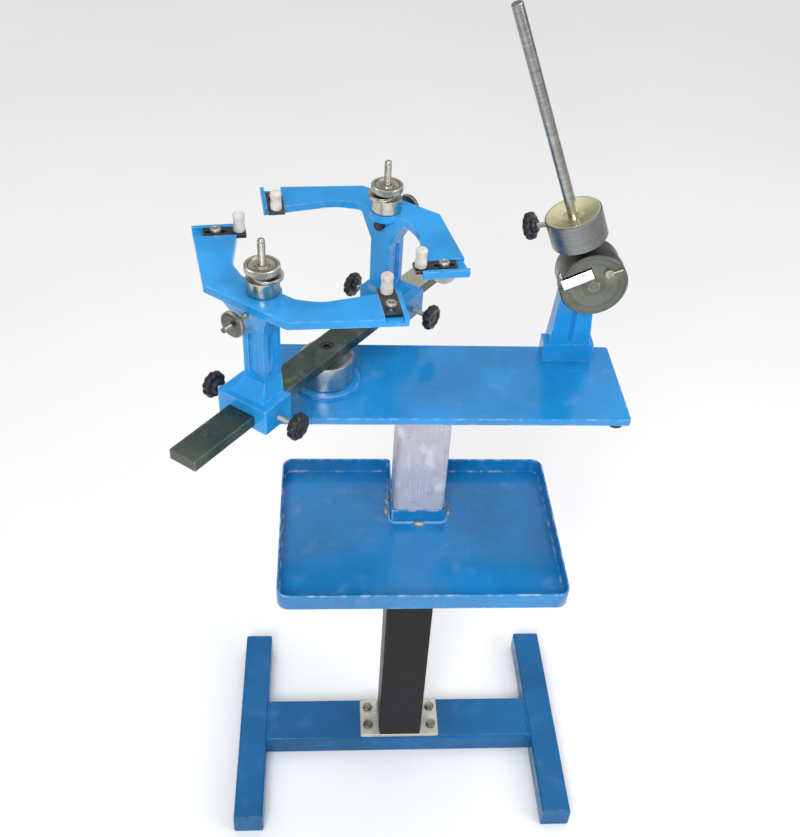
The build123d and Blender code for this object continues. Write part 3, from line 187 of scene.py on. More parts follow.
class Finish:
    """One procedural material, built node by node on the object's own coordinates."""

    def __init__(self, name, **sockets):
        self.material = bpy.data.materials.new(name)
        self.material.use_nodes = True
        self.tree = self.material.node_tree
        self.shader = self.tree.nodes["Principled BSDF"]
        self.place = self.add("ShaderNodeTexCoord").outputs["Object"]
        self.normal = None
        for socket, value in sockets.items():
            self.shader.inputs[socket.replace("_", " ")].default_value = value

    def add(self, kind, **settings):
        """A new node with its settings."""
        made = self.tree.nodes.new(kind)
        for setting, value in settings.items():
            setattr(made, setting, value)
        return made

    def feed(self, socket, value):
        """Links another socket, or sets a plain number or colour."""
        if isinstance(value, bpy.types.NodeSocket):
            self.tree.links.new(value, socket)
        elif socket.type == "RGBA":
            socket.default_value = (*value, 1.0)
        else:
            socket.default_value = value

    def calculate(self, operation, first, second=0.0):
        """Arithmetic on two numbers."""
        made = self.add("ShaderNodeMath", operation=operation)
        self.feed(made.inputs[0], first)
        self.feed(made.inputs[1], second)
        return made.outputs[0]

    def vector(self, operation, first, second=(0, 0, 0), scale=1.0):
        """Arithmetic on two vectors, or on a vector and a scale."""
        made = self.add("ShaderNodeVectorMath", operation=operation)
        self.feed(made.inputs[0], first)
        self.feed(made.inputs[1], second)
        if operation == "SCALE":
            self.feed(made.inputs["Scale"], scale)
        return made.outputs["Value"] if operation in ("DOT_PRODUCT", "LENGTH") else made.outputs[0]

    def noise(self, scale, detail=3.0, stretch=(1, 1, 1), turn=0.0, place=None):
        """Noise with so many features to the metre, stretched along the axes turned about Z."""
        mapping = self.add("ShaderNodeMapping", vector_type="TEXTURE")
        self.feed(mapping.inputs["Vector"], place or self.place)
        mapping.inputs["Rotation"].default_value = (0, 0, turn)
        mapping.inputs["Scale"].default_value = [1.0 / (scale * share) for share in stretch]
        made = self.add("ShaderNodeTexNoise")
        self.feed(made.inputs["Vector"], mapping.outputs[0])
        made.inputs["Scale"].default_value = 1.0
        made.inputs["Detail"].default_value = detail
        return made.outputs["Fac"]

    def remap(self, value, low, high, to_low=0.0, to_high=1.0):
        """Moves a value from one range to another, and keeps it inside."""
        made = self.add("ShaderNodeMapRange")
        for socket, number in zip(made.inputs, (value, low, high, to_low, to_high)):
            self.feed(socket, number)
        return made.outputs[0]

    def blend(self, share, first, second):
        """Mixes two colours."""
        made = self.add("ShaderNodeMix", data_type="RGBA")
        factor, colour_a, colour_b = (made.inputs[index] for index in (0, 6, 7))
        self.feed(factor, share)
        self.feed(colour_a, first)
        self.feed(colour_b, second)
        return made.outputs[2]

    def edges(self, width):
        """1 along the edges of the shape, 0 on its flats."""
        rounded = self.add("ShaderNodeBevel", samples=4)
        rounded.inputs["Radius"].default_value = width
        flat = self.add("ShaderNodeNewGeometry").outputs["Normal"]
        return self.remap(self.vector("DOT_PRODUCT", rounded.outputs[0], flat), 0.995, 0.86)

    def facing(self, axis):
        """1 where the surface faces along an axis, 0 on the sides."""
        normal = self.tree.nodes["Texture Coordinate"].outputs["Normal"]
        return self.remap(self.vector("DOT_PRODUCT", normal, axis), 0.80, 0.95)

    def bump(self, height, strength, depth):
        """Adds a relief on top of those before it."""
        made = self.add("ShaderNodeBump")
        made.inputs["Strength"].default_value = strength
        made.inputs["Distance"].default_value = depth
        self.feed(made.inputs["Height"], height)
        if self.normal:
            self.feed(made.inputs["Normal"], self.normal)
        self.normal = made.outputs[0]

    def finish(self, colour, roughness):
        """Connects the shader and gives the material."""
        self.feed(self.shader.inputs["Base Color"], colour)
        self.feed(self.shader.inputs["Roughness"], roughness)
        if self.normal:
            self.feed(self.shader.inputs["Normal"], self.normal)
        return self.material


def shade(colour, share):
    """A colour made darker or lighter."""
    return tuple(min(1.0, channel * share) for channel in colour)


# ---------------------------------------------------------------- materials
def enamel(name, colour, lumps, scuffs, rim_width, wear_share, shine):
    """Gloss enamel over steel: mottled, a little dusty, lighter along its edges as a painted highlight, and
    rubbed pale in patches there.
    """
    paint = Finish(name, Specular_IOR_Level=0.5 * shine, Coat_Weight=0.6 * shine, Coat_Roughness=0.13)
    broad = paint.noise(9.0, 4.0)
    cloud = paint.noise(38.0, 5.0)
    grain = paint.noise(420.0, 3.0)
    tone = paint.blend(paint.remap(broad, 0.36, 0.64), shade(colour, 0.84), shade(colour, 1.16))
    tone = paint.blend(paint.remap(cloud, 0.58, 0.80, 0.0, scuffs), tone, DUST)
    streak = paint.noise(260.0, 4.0, (0.06, 1.0, 1.0), 0.6)
    tone = paint.blend(paint.remap(streak, 0.66, 0.76, 0.0, 0.5 * scuffs), tone, DUST)
    rim = paint.edges(rim_width)
    # Painted highlight: a band of the paint's own colour made lighter along the edges.
    tone = paint.blend(paint.calculate("MULTIPLY", rim, 0.35), tone, shade(colour, 1.7))
    patches = paint.remap(paint.noise(85.0, 5.0), 0.47, 0.60, 0.0, wear_share)
    tone = paint.blend(paint.calculate("MULTIPLY", rim, patches), tone, SCUFF)
    spots = paint.remap(paint.noise(70.0, 2.0), 0.76, 0.79, 0.0, 0.6)
    tone = paint.blend(spots, tone, RUST)
    paint.bump(paint.noise(lumps, 2.0), 0.22, 0.5 * MM)
    paint.bump(grain, 0.06, 0.2 * MM)
    return paint.finish(tone, paint.remap(cloud, 0.35, 0.75, 0.16, 0.42))


def turned(name, centre, axis, colour, roughness, face=None, rings=1.0, **sockets):
    """Lathe-turned metal: fine grooves that run round an axis, on sides and end faces alike."""
    metal = Finish(name, **{"Metallic": 1.0, "Anisotropic": 0.55, **sockets})
    axis = Vector(axis).normalized()
    offset = metal.vector("SUBTRACT", metal.place, tuple(centre))
    along = metal.vector("DOT_PRODUCT", offset, tuple(axis))
    spoke = metal.vector("SUBTRACT", offset, metal.vector("SCALE", tuple(axis), scale=along))
    across = metal.vector("LENGTH", spoke)
    groove_place = metal.add("ShaderNodeCombineXYZ")
    metal.feed(groove_place.inputs[0], across)
    metal.feed(groove_place.inputs[1], along)
    fine = metal.noise(3200.0, 2.0, place=groove_place.outputs[0])
    coarse = metal.noise(420.0, 3.0, place=groove_place.outputs[0])
    stain = metal.noise(70.0, 4.0)
    tone = metal.blend(metal.remap(coarse, 0.3, 0.7), shade(colour, 0.72), shade(colour, 1.15))
    if face:
        tone = metal.blend(metal.facing(tuple(axis)), tone, face)
    tone = metal.blend(metal.remap(stain, 0.52, 0.78, 0.0, 0.55), tone, OLIVE_STEEL)
    tone = metal.blend(metal.calculate("MULTIPLY", metal.edges(0.8 * MM), 0.5), tone, BRIGHT_EDGE)
    metal.bump(fine, 0.16 * rings, 0.12 * MM)
    metal.bump(coarse, 0.18 * rings, 0.20 * MM)
    metal.feed(metal.shader.inputs["Tangent"], metal.vector("NORMALIZE", metal.vector("CROSS_PRODUCT",
               tuple(axis), spoke)))
    return metal.finish(tone, metal.remap(stain, 0.3, 0.75, roughness, roughness + 0.22))


def drawn(name, colour, stain, stretch, turn=0.0, roughness=0.3, pale=None, painted_sheen=None, corner=None,
          **sockets):
    """Drawn or brushed metal with long fine lines, blotches and worn edges. The sheen argument is the start
    and the end of a painted reflection, a change to paler metal on its top face, and corner the tone of its
    edges, a painted shade where it is given."""
    metal = Finish(name, **{"Metallic": 1.0, **sockets})
    lines = metal.noise(1100.0, 3.0, stretch, turn)
    blotch = metal.noise(24.0, 5.0)
    spots = metal.noise(130.0, 4.0)
    scratch = metal.noise(500.0, 2.0, (0.05, 1.0, 0.4), 0.9)
    tone = metal.blend(metal.remap(lines, 0.3, 0.7), shade(colour, 0.78), shade(colour, 1.2))
    tone = metal.blend(metal.remap(blotch, 0.42, 0.70, 0.0, 0.75), tone, stain)
    tone = metal.blend(metal.remap(spots, 0.60, 0.74, 0.0, 0.6), tone, shade(stain, 0.55))
    tone = metal.blend(metal.remap(scratch, 0.66, 0.74, 0.0, 0.5), tone, shade(colour, 1.9))
    # Pale clouds: mottling on the bar, painted reflections on the column.
    if pale:
        cloud = metal.noise(34.0, 6.0, (1.0, 1.0, 0.6))
        tone = metal.blend(metal.remap(cloud, 0.54, 0.66, 0.0, 0.8), tone, pale)
    # Painted reflection: paler metal on the top face only, faded in along a direction from a start to an end
    if painted_sheen:
        start, end, direction = painted_sheen
        away = metal.vector("DOT_PRODUCT", metal.place, tuple(direction))
        away = metal.calculate("ADD", away, metal.calculate("MULTIPLY", blotch, 0.05))
        sheen_share = metal.calculate("MULTIPLY", metal.remap(away, start, end, 0.0, 0.75), metal.facing(UP))
        tone = metal.blend(sheen_share, tone, PAINTED_SHEEN_TINT)
    # A given corner tone is painted shade: a wide dark band on rounded corners that turn away from the light;
    # otherwise the edges are worn pale.
    rim_width = 4.5 * MM if corner else 1.2 * MM
    rim = metal.edges(rim_width)
    tone = metal.blend(metal.calculate("MULTIPLY", rim, 0.45), tone, corner or WORN_EDGE)
    metal.bump(lines, 0.12, 0.15 * MM)
    metal.bump(spots, 0.10, 0.25 * MM)
    return metal.finish(tone, metal.remap(blotch, 0.3, 0.75, roughness, roughness + 0.25))


def moulded(name, colour, worn, roughness, grain, **sockets):
    """Moulded plastic or rubber: fine grain, dull patches and paler rubbed edges."""
    plastic = Finish(name, **sockets)
    cloud = plastic.noise(90.0, 4.0)
    speck = plastic.noise(1400.0, 2.0)
    tone = plastic.blend(plastic.remap(cloud, 0.35, 0.70), shade(colour, 0.75), shade(colour, 1.3))
    tone = plastic.blend(plastic.remap(speck, 0.62, 0.75, 0.0, 0.35), tone, worn)
    rim = plastic.calculate("MULTIPLY", plastic.edges(1.0 * MM), plastic.remap(cloud, 0.4, 0.6, 0.1, 0.6))
    tone = plastic.blend(rim, tone, worn)
    plastic.bump(speck, grain, 0.12 * MM)
    plastic.bump(cloud, 0.10, 0.4 * MM)
    return plastic.finish(tone, plastic.remap(cloud, 0.3, 0.7, roughness, roughness + 0.2))


def weld_metal(name, colour):
    """Bare weld metal: scaly, heat-tinted and dull."""
    weld = Finish(name, Metallic=0.6)
    scale = weld.noise(600.0, 4.0)
    tint = weld.noise(110.0, 3.0)
    tone = weld.blend(weld.remap(tint, 0.4, 0.65), colour, shade(colour, 0.6))
    tone = weld.blend(weld.remap(scale, 0.55, 0.75, 0.0, 0.7), tone, (0.70, 0.66, 0.55))
    weld.bump(scale, 0.5, 0.4 * MM)
    return weld.finish(tone, weld.remap(scale, 0.3, 0.7, 0.35, 0.7))


def floor_finish():
    """Pale, faintly mottled studio floor."""
    paper = Finish("studio_floor", Specular_IOR_Level=0.15)
    cloud = paper.noise(1.2, 3.0)
    tone = paper.blend(paper.remap(cloud, 0.3, 0.7), (0.90, 0.90, 0.90), (0.93, 0.93, 0.93))
    paper.bump(paper.noise(300.0, 2.0), 0.02, 0.2 * MM)
    return paper.finish(tone, paper.remap(cloud, 0.3, 0.7, 0.75, 0.85))


def make_floor():
    """Large pale floor under the stand."""
    half = 12.0
    steps = 8
    points = []
    faces = []
    for row in range(steps + 1):
        for column in range(steps + 1):
            points.append((half * (2 * column / steps - 1), half * (2 * row / steps - 1), 0.0))
    for row in range(steps):
        for column in range(steps):
            first = row * (steps + 1) + column
            faces.append((first, first + 1, first + steps + 2, first + steps + 1))
    mesh = bpy.data.meshes.new("floor")
    mesh.from_pydata(points, [], faces)
    mesh.materials.append(floor_finish())
    floor = bpy.data.objects.new("floor", mesh)
    collection.objects.link(floor)


# ---------------------------------------------------------------- mesh helpers
def frame_at(point, axis):
    """Matrix with its origin at a point and its z along an axis."""
    turn = Vector(axis).normalized().to_track_quat("Z", "Y").to_matrix().to_4x4()
    return Matrix.Translation(point) @ turn


def soften(profile, radius, steps=3):
    """Rounds the inner corners of a profile of (radius, height) points."""
    closed = profile[0] == profile[-1]
    points = [Vector(point) for point in (profile[:-1] if closed else profile)]
    rounded = []
    for index, corner in enumerate(points):
        if not closed and index in (0, len(points) - 1):
            rounded.append(tuple(corner))
            continue
        before = points[index - 1] - corner
        after = points[(index + 1) % len(points)] - corner
        start = corner + before.normalized() * min(radius, 0.45 * before.length)
        end = corner + after.normalized() * min(radius, 0.45 * after.length)
        for step in range(steps + 1):
            share = step / steps
            rounded.append(tuple(start.lerp(corner, share).lerp(corner.lerp(end, share), share)))
    if closed:
        rounded.append(rounded[0])
    return rounded


def revolve(place, profile, segments=96, shape=None):
    """Points and faces of a turned solid. Its profile starts and ends on the axis, or comes back
    to its first point where there is a bore. shape(radius, height, angle) may change a radius."""
    closed = profile[0] == profile[-1]
    rows = []
    points = []
    for radius, height in profile[:-1] if closed else profile:
        row = []
        for index in range(segments if radius > 0.0 else 1):
            angle = 2 * math.pi * index / segments
            reach = shape(radius, height, angle) if shape and radius > 0.0 else radius
            row.append(len(points))
            points.append(place @ Vector((reach * math.cos(angle), reach * math.sin(angle), height)))
        rows.append(row)
    faces = []
    for low, high in zip(rows, rows[1:] + rows[:1] if closed else rows[1:]):
        for index in range(segments):
            after = (index + 1) % segments
            corners = (low[index % len(low)], low[after % len(low)], high[after % len(high)],
                       high[index % len(high)])
            face = list(dict.fromkeys(corners))
            if len(face) > 2:
                faces.append(face)
    return points, faces


def knurled(count, depth, above):
    """Shape with fine straight teeth on every part further out than a radius."""
    def shape(radius, height, angle):
        if radius < above:
            return radius
        return radius - depth * (0.5 - 0.5 * math.cos(count * angle))
    return shape


def hexagon(angle, half_width):
    """Radius of a hexagon at an angle."""
    sixth = math.pi / 3
    return half_width / math.cos(angle % sixth - sixth / 2)


def screw_thread(place, radius, start, end, pitch):
    """Closed rod with a helical thread that fades out at both ends."""
    rows_per_turn = 6
    depth = 0.38 * pitch
    rows = max(2, round((end - start) / pitch * rows_per_turn))

    def shape(reach, height, angle):
        fade = max(0.0, min(1.0, (height - start) / pitch, (end - height) / pitch))
        wave = 0.5 + 0.5 * math.cos(2 * math.pi * height / pitch - angle)
        return reach - depth * fade * wave

    profile = [(0.0, start)]
    profile += [(radius, start + (end - start) * row / rows) for row in range(rows + 1)]
    profile.append((0.0, end))
    return revolve(place, profile, 24, shape)


def add_piece(name, solids, body, material, replaced=(), sharp=34):
    """Makes one piece from closed solids, and lets it ride on a body. An edge stays hard from the
    sharp angle on, in degrees."""
    points = []
    faces = []
    for solid_points, solid_faces in solids:
        first = len(points)
        points += solid_points
        faces += [[first + index for index in face] for face in solid_faces]
    mesh = bpy.data.meshes.new(name)
    mesh.from_pydata(points, [], faces)
    work = bmesh.new()
    work.from_mesh(mesh)
    bmesh.ops.recalc_face_normals(work, faces=work.faces)
    work.to_mesh(mesh)
    work.free()
    mesh.shade_smooth()
    mesh.set_sharp_from_angle(angle=math.radians(sharp))
    mesh.materials.append(material)
    made = bpy.data.objects.new(name, mesh)
    collection.objects.link(made)
    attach(made, body)
    if replaced:
        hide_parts(*replaced)
    return made


def bead(route, radius, seed):
    """Weld bead along a route: overlapping ripples of slightly uneven width."""
    chance = random.Random(seed)
    around = 12
    pitch = radius * 0.28
    stations = []
    for start, end in zip(route, route[1:]):
        run = Vector(end) - Vector(start)
        count = max(2, round(run.length / pitch))
        for step in range(count):
            stations.append((Vector(start) + run * step / count, run.normalized()))
    stations.append((Vector(route[-1]), (Vector(route[-1]) - Vector(route[-2])).normalized()))
    points = []
    faces = []
    for index, (centre, direction) in enumerate(stations):
        end_fade = min(1.0, 0.35 + index / 5, 0.35 + (len(stations) - 1 - index) / 5)
        size = radius * end_fade * (0.92 + 0.10 * math.cos(index * 1.6) + 0.08 * chance.random())
        turn = direction.to_track_quat("Z", "Y").to_matrix()
        for step in range(around):
            angle = 2 * math.pi * step / around
            points.append(centre + turn @ Vector((size * math.cos(angle), size * math.sin(angle), 0)))
    for index in range(len(stations) - 1):
        for step in range(around):
            after = (step + 1) % around
            low = index * around
            faces.append((low + step, low + after, low + around + after, low + around + step))
    faces.append(list(range(around)))
    faces.append([len(points) - 1 - step for step in range(around)])
    return points, faces


# ---------------------------------------------------------------- detailed pieces
def hex_bolt(place, head_height, shank_length):
    """Hex bolt: a chamfered head that stands on the place, and a threaded shank below it."""
    half_width = 6.45 * MM
    corner = half_width / math.cos(math.pi / 6)
    rise = 1.5 * MM
    steps = 5
    profile = [(0.0, 0.0), (corner, 0.0), (corner, head_height - rise)]
    for step in range(1, steps + 1):
        share = step / steps
        profile.append((corner - (corner - half_width * 0.93) * share, head_height - rise * (1 - share)))
    profile.append((half_width * 0.86, head_height - 0.2 * MM))
    profile.append((0.0, head_height - 0.2 * MM))

    def shape(radius, height, angle):
        return min(radius, hexagon(angle, half_width))

    return [revolve(place, profile, 72, shape),
            screw_thread(place, BIG_SCREW, -shank_length, -0.1 * MM, COARSE_PITCH)]


def four_corners(half_x, half_y):
    """Corners of a rectangle about the column's axis."""
    return [(x, y) for x in (-half_x, half_x) for y in (-half_y, half_y)]


def bolt_group(name, node, centres, height, direction, shank_length, material):
    """A group of identical hex bolts that stands for one CAD node. direction is 1 where the heads
    point up and -1 where they point down."""
    solids = []
    for x, y in centres:
        place = frame_at((x, y, height), (0, 0, direction))
        solids += hex_bolt(place, HEX_HEAD, shank_length)
    add_piece(name, solids, "stand", material, (node,))


def fluted_knob(name, joint, body_start, screw_start, body, node, grip_material, screw_material):
    """Moulded knob with ten finger flutes, a hub, a dished face with an insert, and its screw."""
    place = frame_at(joint["pos_m"], joint["axis"])
    rim = 15.4 * MM
    hub = 7.6 * MM
    length = 9.0 * MM
    flutes = 10
    flute_depth = 2.2 * MM
    top = body_start + length
    profile = [(0.0, body_start - 4.0 * MM), (hub, body_start - 4.0 * MM), (hub + 0.6 * MM, body_start),
               (rim - 1.2 * MM, body_start), (rim, body_start + 0.25 * length),
               (rim, top - 0.3 * length), (rim - 1.6 * MM, top), (9.2 * MM, top),
               (8.4 * MM, top - 1.4 * MM), (4.6 * MM, top - 1.4 * MM), (4.2 * MM, top - 0.5 * MM),
               (0.0, top - 0.4 * MM)]

    def shape(radius, height, angle):
        outward = max(0.0, (radius - hub) / (rim - hub))
        return radius - flute_depth * outward ** 2 * (0.5 + 0.5 * math.cos(flutes * angle)) ** 1.6

    grip = revolve(place, soften(profile, 1.3 * MM, 4), 120, shape)
    add_piece(name + "_grip", [grip], body, grip_material, (node,), 50)
    thread = screw_thread(place, SMALL_SCREW, screw_start, body_start - 3.8 * MM, FINE_PITCH)
    add_piece(name + "_screw", [thread], body, screw_material)


def hold_down(side, nut_material, stud_material):
    """Knurled dished nut and threaded stud above a head support."""
    low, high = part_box(f"{side}_holddown_nut")
    centre = (low + high) / 2
    place = Matrix.Translation((centre.x, centre.y, 0))
    bottom, top = low.z, high.z
    rim = 18.0 * MM
    shoulder = 16.9 * MM
    bore = 4.1 * MM
    profile = [(bore, bottom), (10.0 * MM, bottom), (shoulder, bottom + 2.7 * MM),
               (rim, bottom + 4.0 * MM), (rim, top - 1.2 * MM),
               (shoulder, top), (14.4 * MM, top), (13.4 * MM, top - 2.0 * MM),
               (7.4 * MM, top - 2.4 * MM), (6.8 * MM, top - 0.4 * MM), (bore, top - 0.4 * MM),
               (bore, bottom)]
    nut = revolve(place, soften(profile, 0.5 * MM), 288, knurled(72, 0.55 * MM, 16.8 * MM))
    add_piece(f"{side}_knurled_nut", [nut], f"{side}_nut", nut_material,
              (f"{side}_holddown_nut",))
    low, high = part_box(f"{side}_holddown_stud")
    dome_radius = 3.85 * MM
    dome_foot = high.z - 4.0 * MM
    dome = [(0.0, dome_foot), (dome_radius, dome_foot), (dome_radius, high.z - 1.6 * MM),
            (2.6 * MM, high.z), (0.0, high.z)]
    solids = [screw_thread(place, BIG_SCREW, low.z, high.z - 3.9 * MM, COARSE_PITCH),
              revolve(place, soften(dome, 0.8 * MM), 48)]
    add_piece(f"{side}_threaded_stud", solids, f"{side}_support", stud_material,
              (f"{side}_holddown_stud",))


def adjuster(side, disc_material, cap_material):
    """Threaded adjuster with a knurled disc outside and a ribbed black cap inside."""
    joint = joints[f"{side}_adjuster_turn"]
    place = frame_at(joint["pos_m"], joint["axis"])
    outside, step, inside = -29.0 * MM, -28.4 * MM, -23.5 * MM
    rim = 14.0 * MM
    collar, collar_end = 7.0 * MM, -20.2 * MM
    disc = [(0.0, outside), (11.2 * MM, outside), (11.8 * MM, step), (13.2 * MM, step),
            (rim, -27.8 * MM), (rim, -24.2 * MM), (13.4 * MM, inside), (collar, inside),
            (collar, collar_end), (0.0, collar_end)]
    solids = [revolve(place, soften(disc, 0.4 * MM), 240, knurled(60, 0.5 * MM, 13.2 * MM)),
              screw_thread(place, SMALL_SCREW, -40.0 * MM, -28.9 * MM, COARSE_PITCH),
              screw_thread(place, SMALL_SCREW, -20.3 * MM, 34.0 * MM, COARSE_PITCH)]
    add_piece(f"{side}_adjuster_disc", solids, f"{side}_adjuster", disc_material,
              (f"{side}_adjuster_screw",))
    low, high = CAP_START, CAP_END
    cap_radius, bore = 6.0 * MM, 3.0 * MM
    bore_end = low + 5.2 * MM
    cap = [(bore, low), (5.4 * MM, low), (cap_radius, low + 0.8 * MM), (cap_radius, high - 1.4 * MM),
           (4.6 * MM, high), (0.0, high), (0.0, bore_end), (bore, bore_end), (bore, low)]
    ribbed = revolve(place, soften(cap, 0.4 * MM), 96, knurled(16, 0.45 * MM, 5.3 * MM))
    add_piece(f"{side}_ribbed_cap", [ribbed], f"{side}_adjuster", cap_material,
              (f"{side}_adjuster_cap",))


def jaw_screw(material):
    """Round screw head with a knurled rim beside the jaw, and the pin that goes across it."""
    low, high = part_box("jaw_screw")
    stem, stem_length, head = 2.9 * MM, 9.8 * MM, 5.4 * MM
    cad_stem_length, cad_head = 10 * MM, 5.5 * MM
    face = high.y - cad_stem_length
    height = face - low.y
    centre = Vector((low.x + cad_head, face, low.z + cad_head))
    place = frame_at(centre, (0, -1, 0))
    profile = [(0.0, -stem_length), (stem, -stem_length), (stem, 0.0), (head, 0.0),
               (head, height - 0.7 * MM), (head - 1.0 * MM, height), (0.0, height)]
    lean = math.radians(22)
    pin_start = centre - Vector((0, height / 2, 0))
    pin_place = frame_at(pin_start, (math.cos(lean), 0, math.sin(lean)))
    pin_radius, pin_low, pin_high = 1.1 * MM, -4.0 * MM, 15.3 * MM
    pin = [(0.0, pin_low), (pin_radius, pin_low), (pin_radius, pin_high), (0.0, pin_high)]
    solids = [revolve(place, soften(profile, 0.4 * MM), 144, knurled(36, 0.35 * MM, 5.0 * MM)),
              revolve(pin_place, soften(pin, 0.6 * MM), 32)]
    add_piece("jaw_screw_head", solids, "lever", material, ("jaw_screw",))


def pad_locks(side, material):
    """The socket screws in the arm channels and the knurled nuts under the arm tips."""
    low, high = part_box(f"{side}_pad_locks")
    slide_shift = 9.0 * MM
    head = 6.0 * MM
    socket = 2.6 * MM
    socket_floor = high.z - 2.8 * MM
    head_low = high.z - 4.8 * MM
    nut_low = low.z + 3.0 * MM
    nut_high = nut_low + 8.9 * MM
    nut_rim, nut_bore = 11.5 * MM, 3.0 * MM
    solids = []
    for hand in HANDS:
        slide_low, slide_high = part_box(f"{side}_{hand}_pad_slide")
        inward = Vector(joints[f"{side}_{hand}_pad_travel"]["axis"])
        screw = (slide_low + slide_high) / 2 - inward * slide_shift
        place = Matrix.Translation((screw.x, screw.y, 0))
        top = [(0.0, head_low), (head, head_low), (head, high.z - 1.2 * MM), (head - 1.3 * MM, high.z),
               (socket + 0.5 * MM, high.z), (socket, high.z - 0.3 * MM), (socket, socket_floor),
               (0.0, socket_floor)]

        def socket_shape(radius, height, angle):
            return min(radius, hexagon(angle, 0.88 * socket)) if radius <= socket else radius

        solids.append(revolve(place, soften(top, 0.25 * MM, 2), 72, socket_shape))
        solids.append(screw_thread(place, SMALL_SCREW, low.z, head_low + 0.1 * MM, FINE_PITCH))
        nut = [(nut_bore, nut_low), (9.6 * MM, nut_low), (nut_rim, nut_low + 1.4 * MM),
               (nut_rim, nut_high - 1.2 * MM), (10.4 * MM, nut_high), (nut_bore, nut_high),
               (nut_bore, nut_low)]
        solids.append(revolve(place, soften(nut, 0.4 * MM), 192, knurled(48, 0.5 * MM, 10.6 * MM)))
    add_piece(f"{side}_pad_screws", solids, f"{side}_carriage", material,
              (f"{side}_pad_locks",))


def pad_peg(side, hand, material):
    """Nylon peg with a waist groove, a rounded top and a small moulding dimple."""
    node = f"{side}_{hand}_pad_peg"
    low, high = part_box(node)
    centre = (low + high) / 2
    place = Matrix.Translation((centre.x, centre.y, 0))
    seat = low.z + 4.0 * MM
    radius = 6.5 * MM
    waist = radius - 0.5 * MM
    spigot = 3.0 * MM
    dimple = high.z - 0.6 * MM
    profile = [(0.0, low.z), (spigot, low.z), (spigot, seat), (radius - 0.3 * MM, seat),
               (radius, seat + 1.0 * MM), (radius, seat + 6.0 * MM), (waist, seat + 8.5 * MM),
               (waist, seat + 14.0 * MM), (radius, seat + 16.5 * MM),
               (radius, high.z - 2.2 * MM), (radius - 2.0 * MM, high.z), (1.6 * MM, high.z),
               (1.2 * MM, dimple), (0.0, dimple)]
    peg = revolve(place, soften(profile, 1.2 * MM, 4), 64)
    add_piece(f"{side}_{hand}_nylon_peg", [peg], f"{side}_{hand}_pad", material, (node,), 60)


def panel_wings(material):
    """Thin wings of the black panel, round the column's front corners and along its sides."""
    low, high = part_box("label_panel")
    inner = COLUMN_CORNER + 0.03 * MM
    outer = COLUMN_CORNER + 0.50 * MM
    flat = COLUMN_HALF - COLUMN_CORNER
    turn = math.radians(68)
    steps = 8
    route = [(flat, 0.0)]
    route += [(-flat, turn * step / steps) for step in range(steps + 1)]
    solids = []
    for hand in (-1, 1):
        points = []
        for y, angle in route:
            for height in (low.z, high.z):
                for reach in (inner, outer):
                    x = flat + reach * math.cos(angle)
                    points.append((hand * x, y - reach * math.sin(angle), height))
        faces = [(0, 1, 3, 2), tuple(len(points) - 4 + index for index in (2, 3, 1, 0))]
        for first in range(0, len(points) - 4, 4):
            for one, other in ((0, 1), (1, 3), (3, 2), (2, 0)):
                faces.append((first + one, first + other, first + 4 + other, first + 4 + one))
        solids.append((points, faces))
    add_piece("label_panel_wings", solids, "stand", material)


def welds(painted, seam_paint, bare):
    """Weld beads of the base, the column's two ends and the tray's collar."""
    leg_low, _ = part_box("right_leg")
    bar_low, bar_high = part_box("crossbar")
    solids = []
    inset = 0.6 * MM
    foot = 4 * MM
    corner = 3 * MM
    for side in (-1, 1):
        x = side * (leg_low.x - inset)
        top = bar_high.z - 0.4 * MM
        front, back = bar_low.y + inset, bar_high.y - inset
        route = [(x, front, foot), (x, front, top - corner), (x, front + corner, top),
                 (x, back - corner, top), (x, back, top - corner), (x, back, foot)]
        solids.append(bead(route, 1.9 * MM, 3 + side))
    add_piece("base_weld_beads", solids, "stand", painted, (), 60)

    column_low, column_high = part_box("column")
    reach = column_high.x + 0.4 * MM
    foot = column_low.z + inset
    head = column_high.z - inset
    bow = 6 * MM
    foot_route = [(reach, -reach + bow, foot), (reach, reach - bow, foot), (reach - bow, reach, foot),
                  (bow - reach, reach, foot), (-reach, reach - bow, foot), (-reach, bow - reach, foot)]
    head_route = [(x, y, head) for x, y, _ in foot_route]
    head_route += [(bow - reach, -reach, head), (reach - bow, -reach, head), (reach, bow - reach, head)]
    add_piece("column_weld_beads", [bead(foot_route, 2.0 * MM, 11), bead(head_route, 2.0 * MM, 12)],
              "stand", bare, (), 60)

    collar_low, collar_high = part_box("tray_collar")
    seam_offset = 2.2 * MM
    floor = collar_low.z + seam_offset
    out = collar_high.x + seam_offset
    front = collar_low.y - seam_offset
    seam_end = 20 * MM
    corner = 5 * MM
    seam = [(-out, seam_end, floor), (-out, front + corner, floor), (corner - out, front, floor),
            (out - corner, front, floor), (out, front + corner, floor), (out, seam_end, floor)]
    add_piece("tray_seam_bead", [bead(seam, 2.4 * MM, 21)], "stand", seam_paint, (), 60)
    solids = [
        bead([(-out - 3 * MM, -22 * MM, floor), (-out - 4 * MM, -9 * MM, floor)], 4.2 * MM, 31),
        bead([(-out - 1 * MM, -4 * MM, floor), (-out - 2 * MM, 7 * MM, floor)], 3.4 * MM, 32),
        bead([(out + 3 * MM, -24 * MM, floor), (out + 2 * MM, -10 * MM, floor)], 4.0 * MM, 33),
        bead([(-7 * MM, front - 2 * MM, floor), (8 * MM, front - 3 * MM, floor)], 3.8 * MM, 34),
    ]
    lip = collar_high.z - 0.4 * MM
    inner = column_high.x + 0.9 * MM
    for side in (-1, 1):
        solids.append(bead([(side * inner, -16 * MM, lip), (side * inner, 2 * MM, lip)], 1.5 * MM, 40 + side))
    add_piece("tray_weld_tacks", solids, "stand", bare, (), 60)


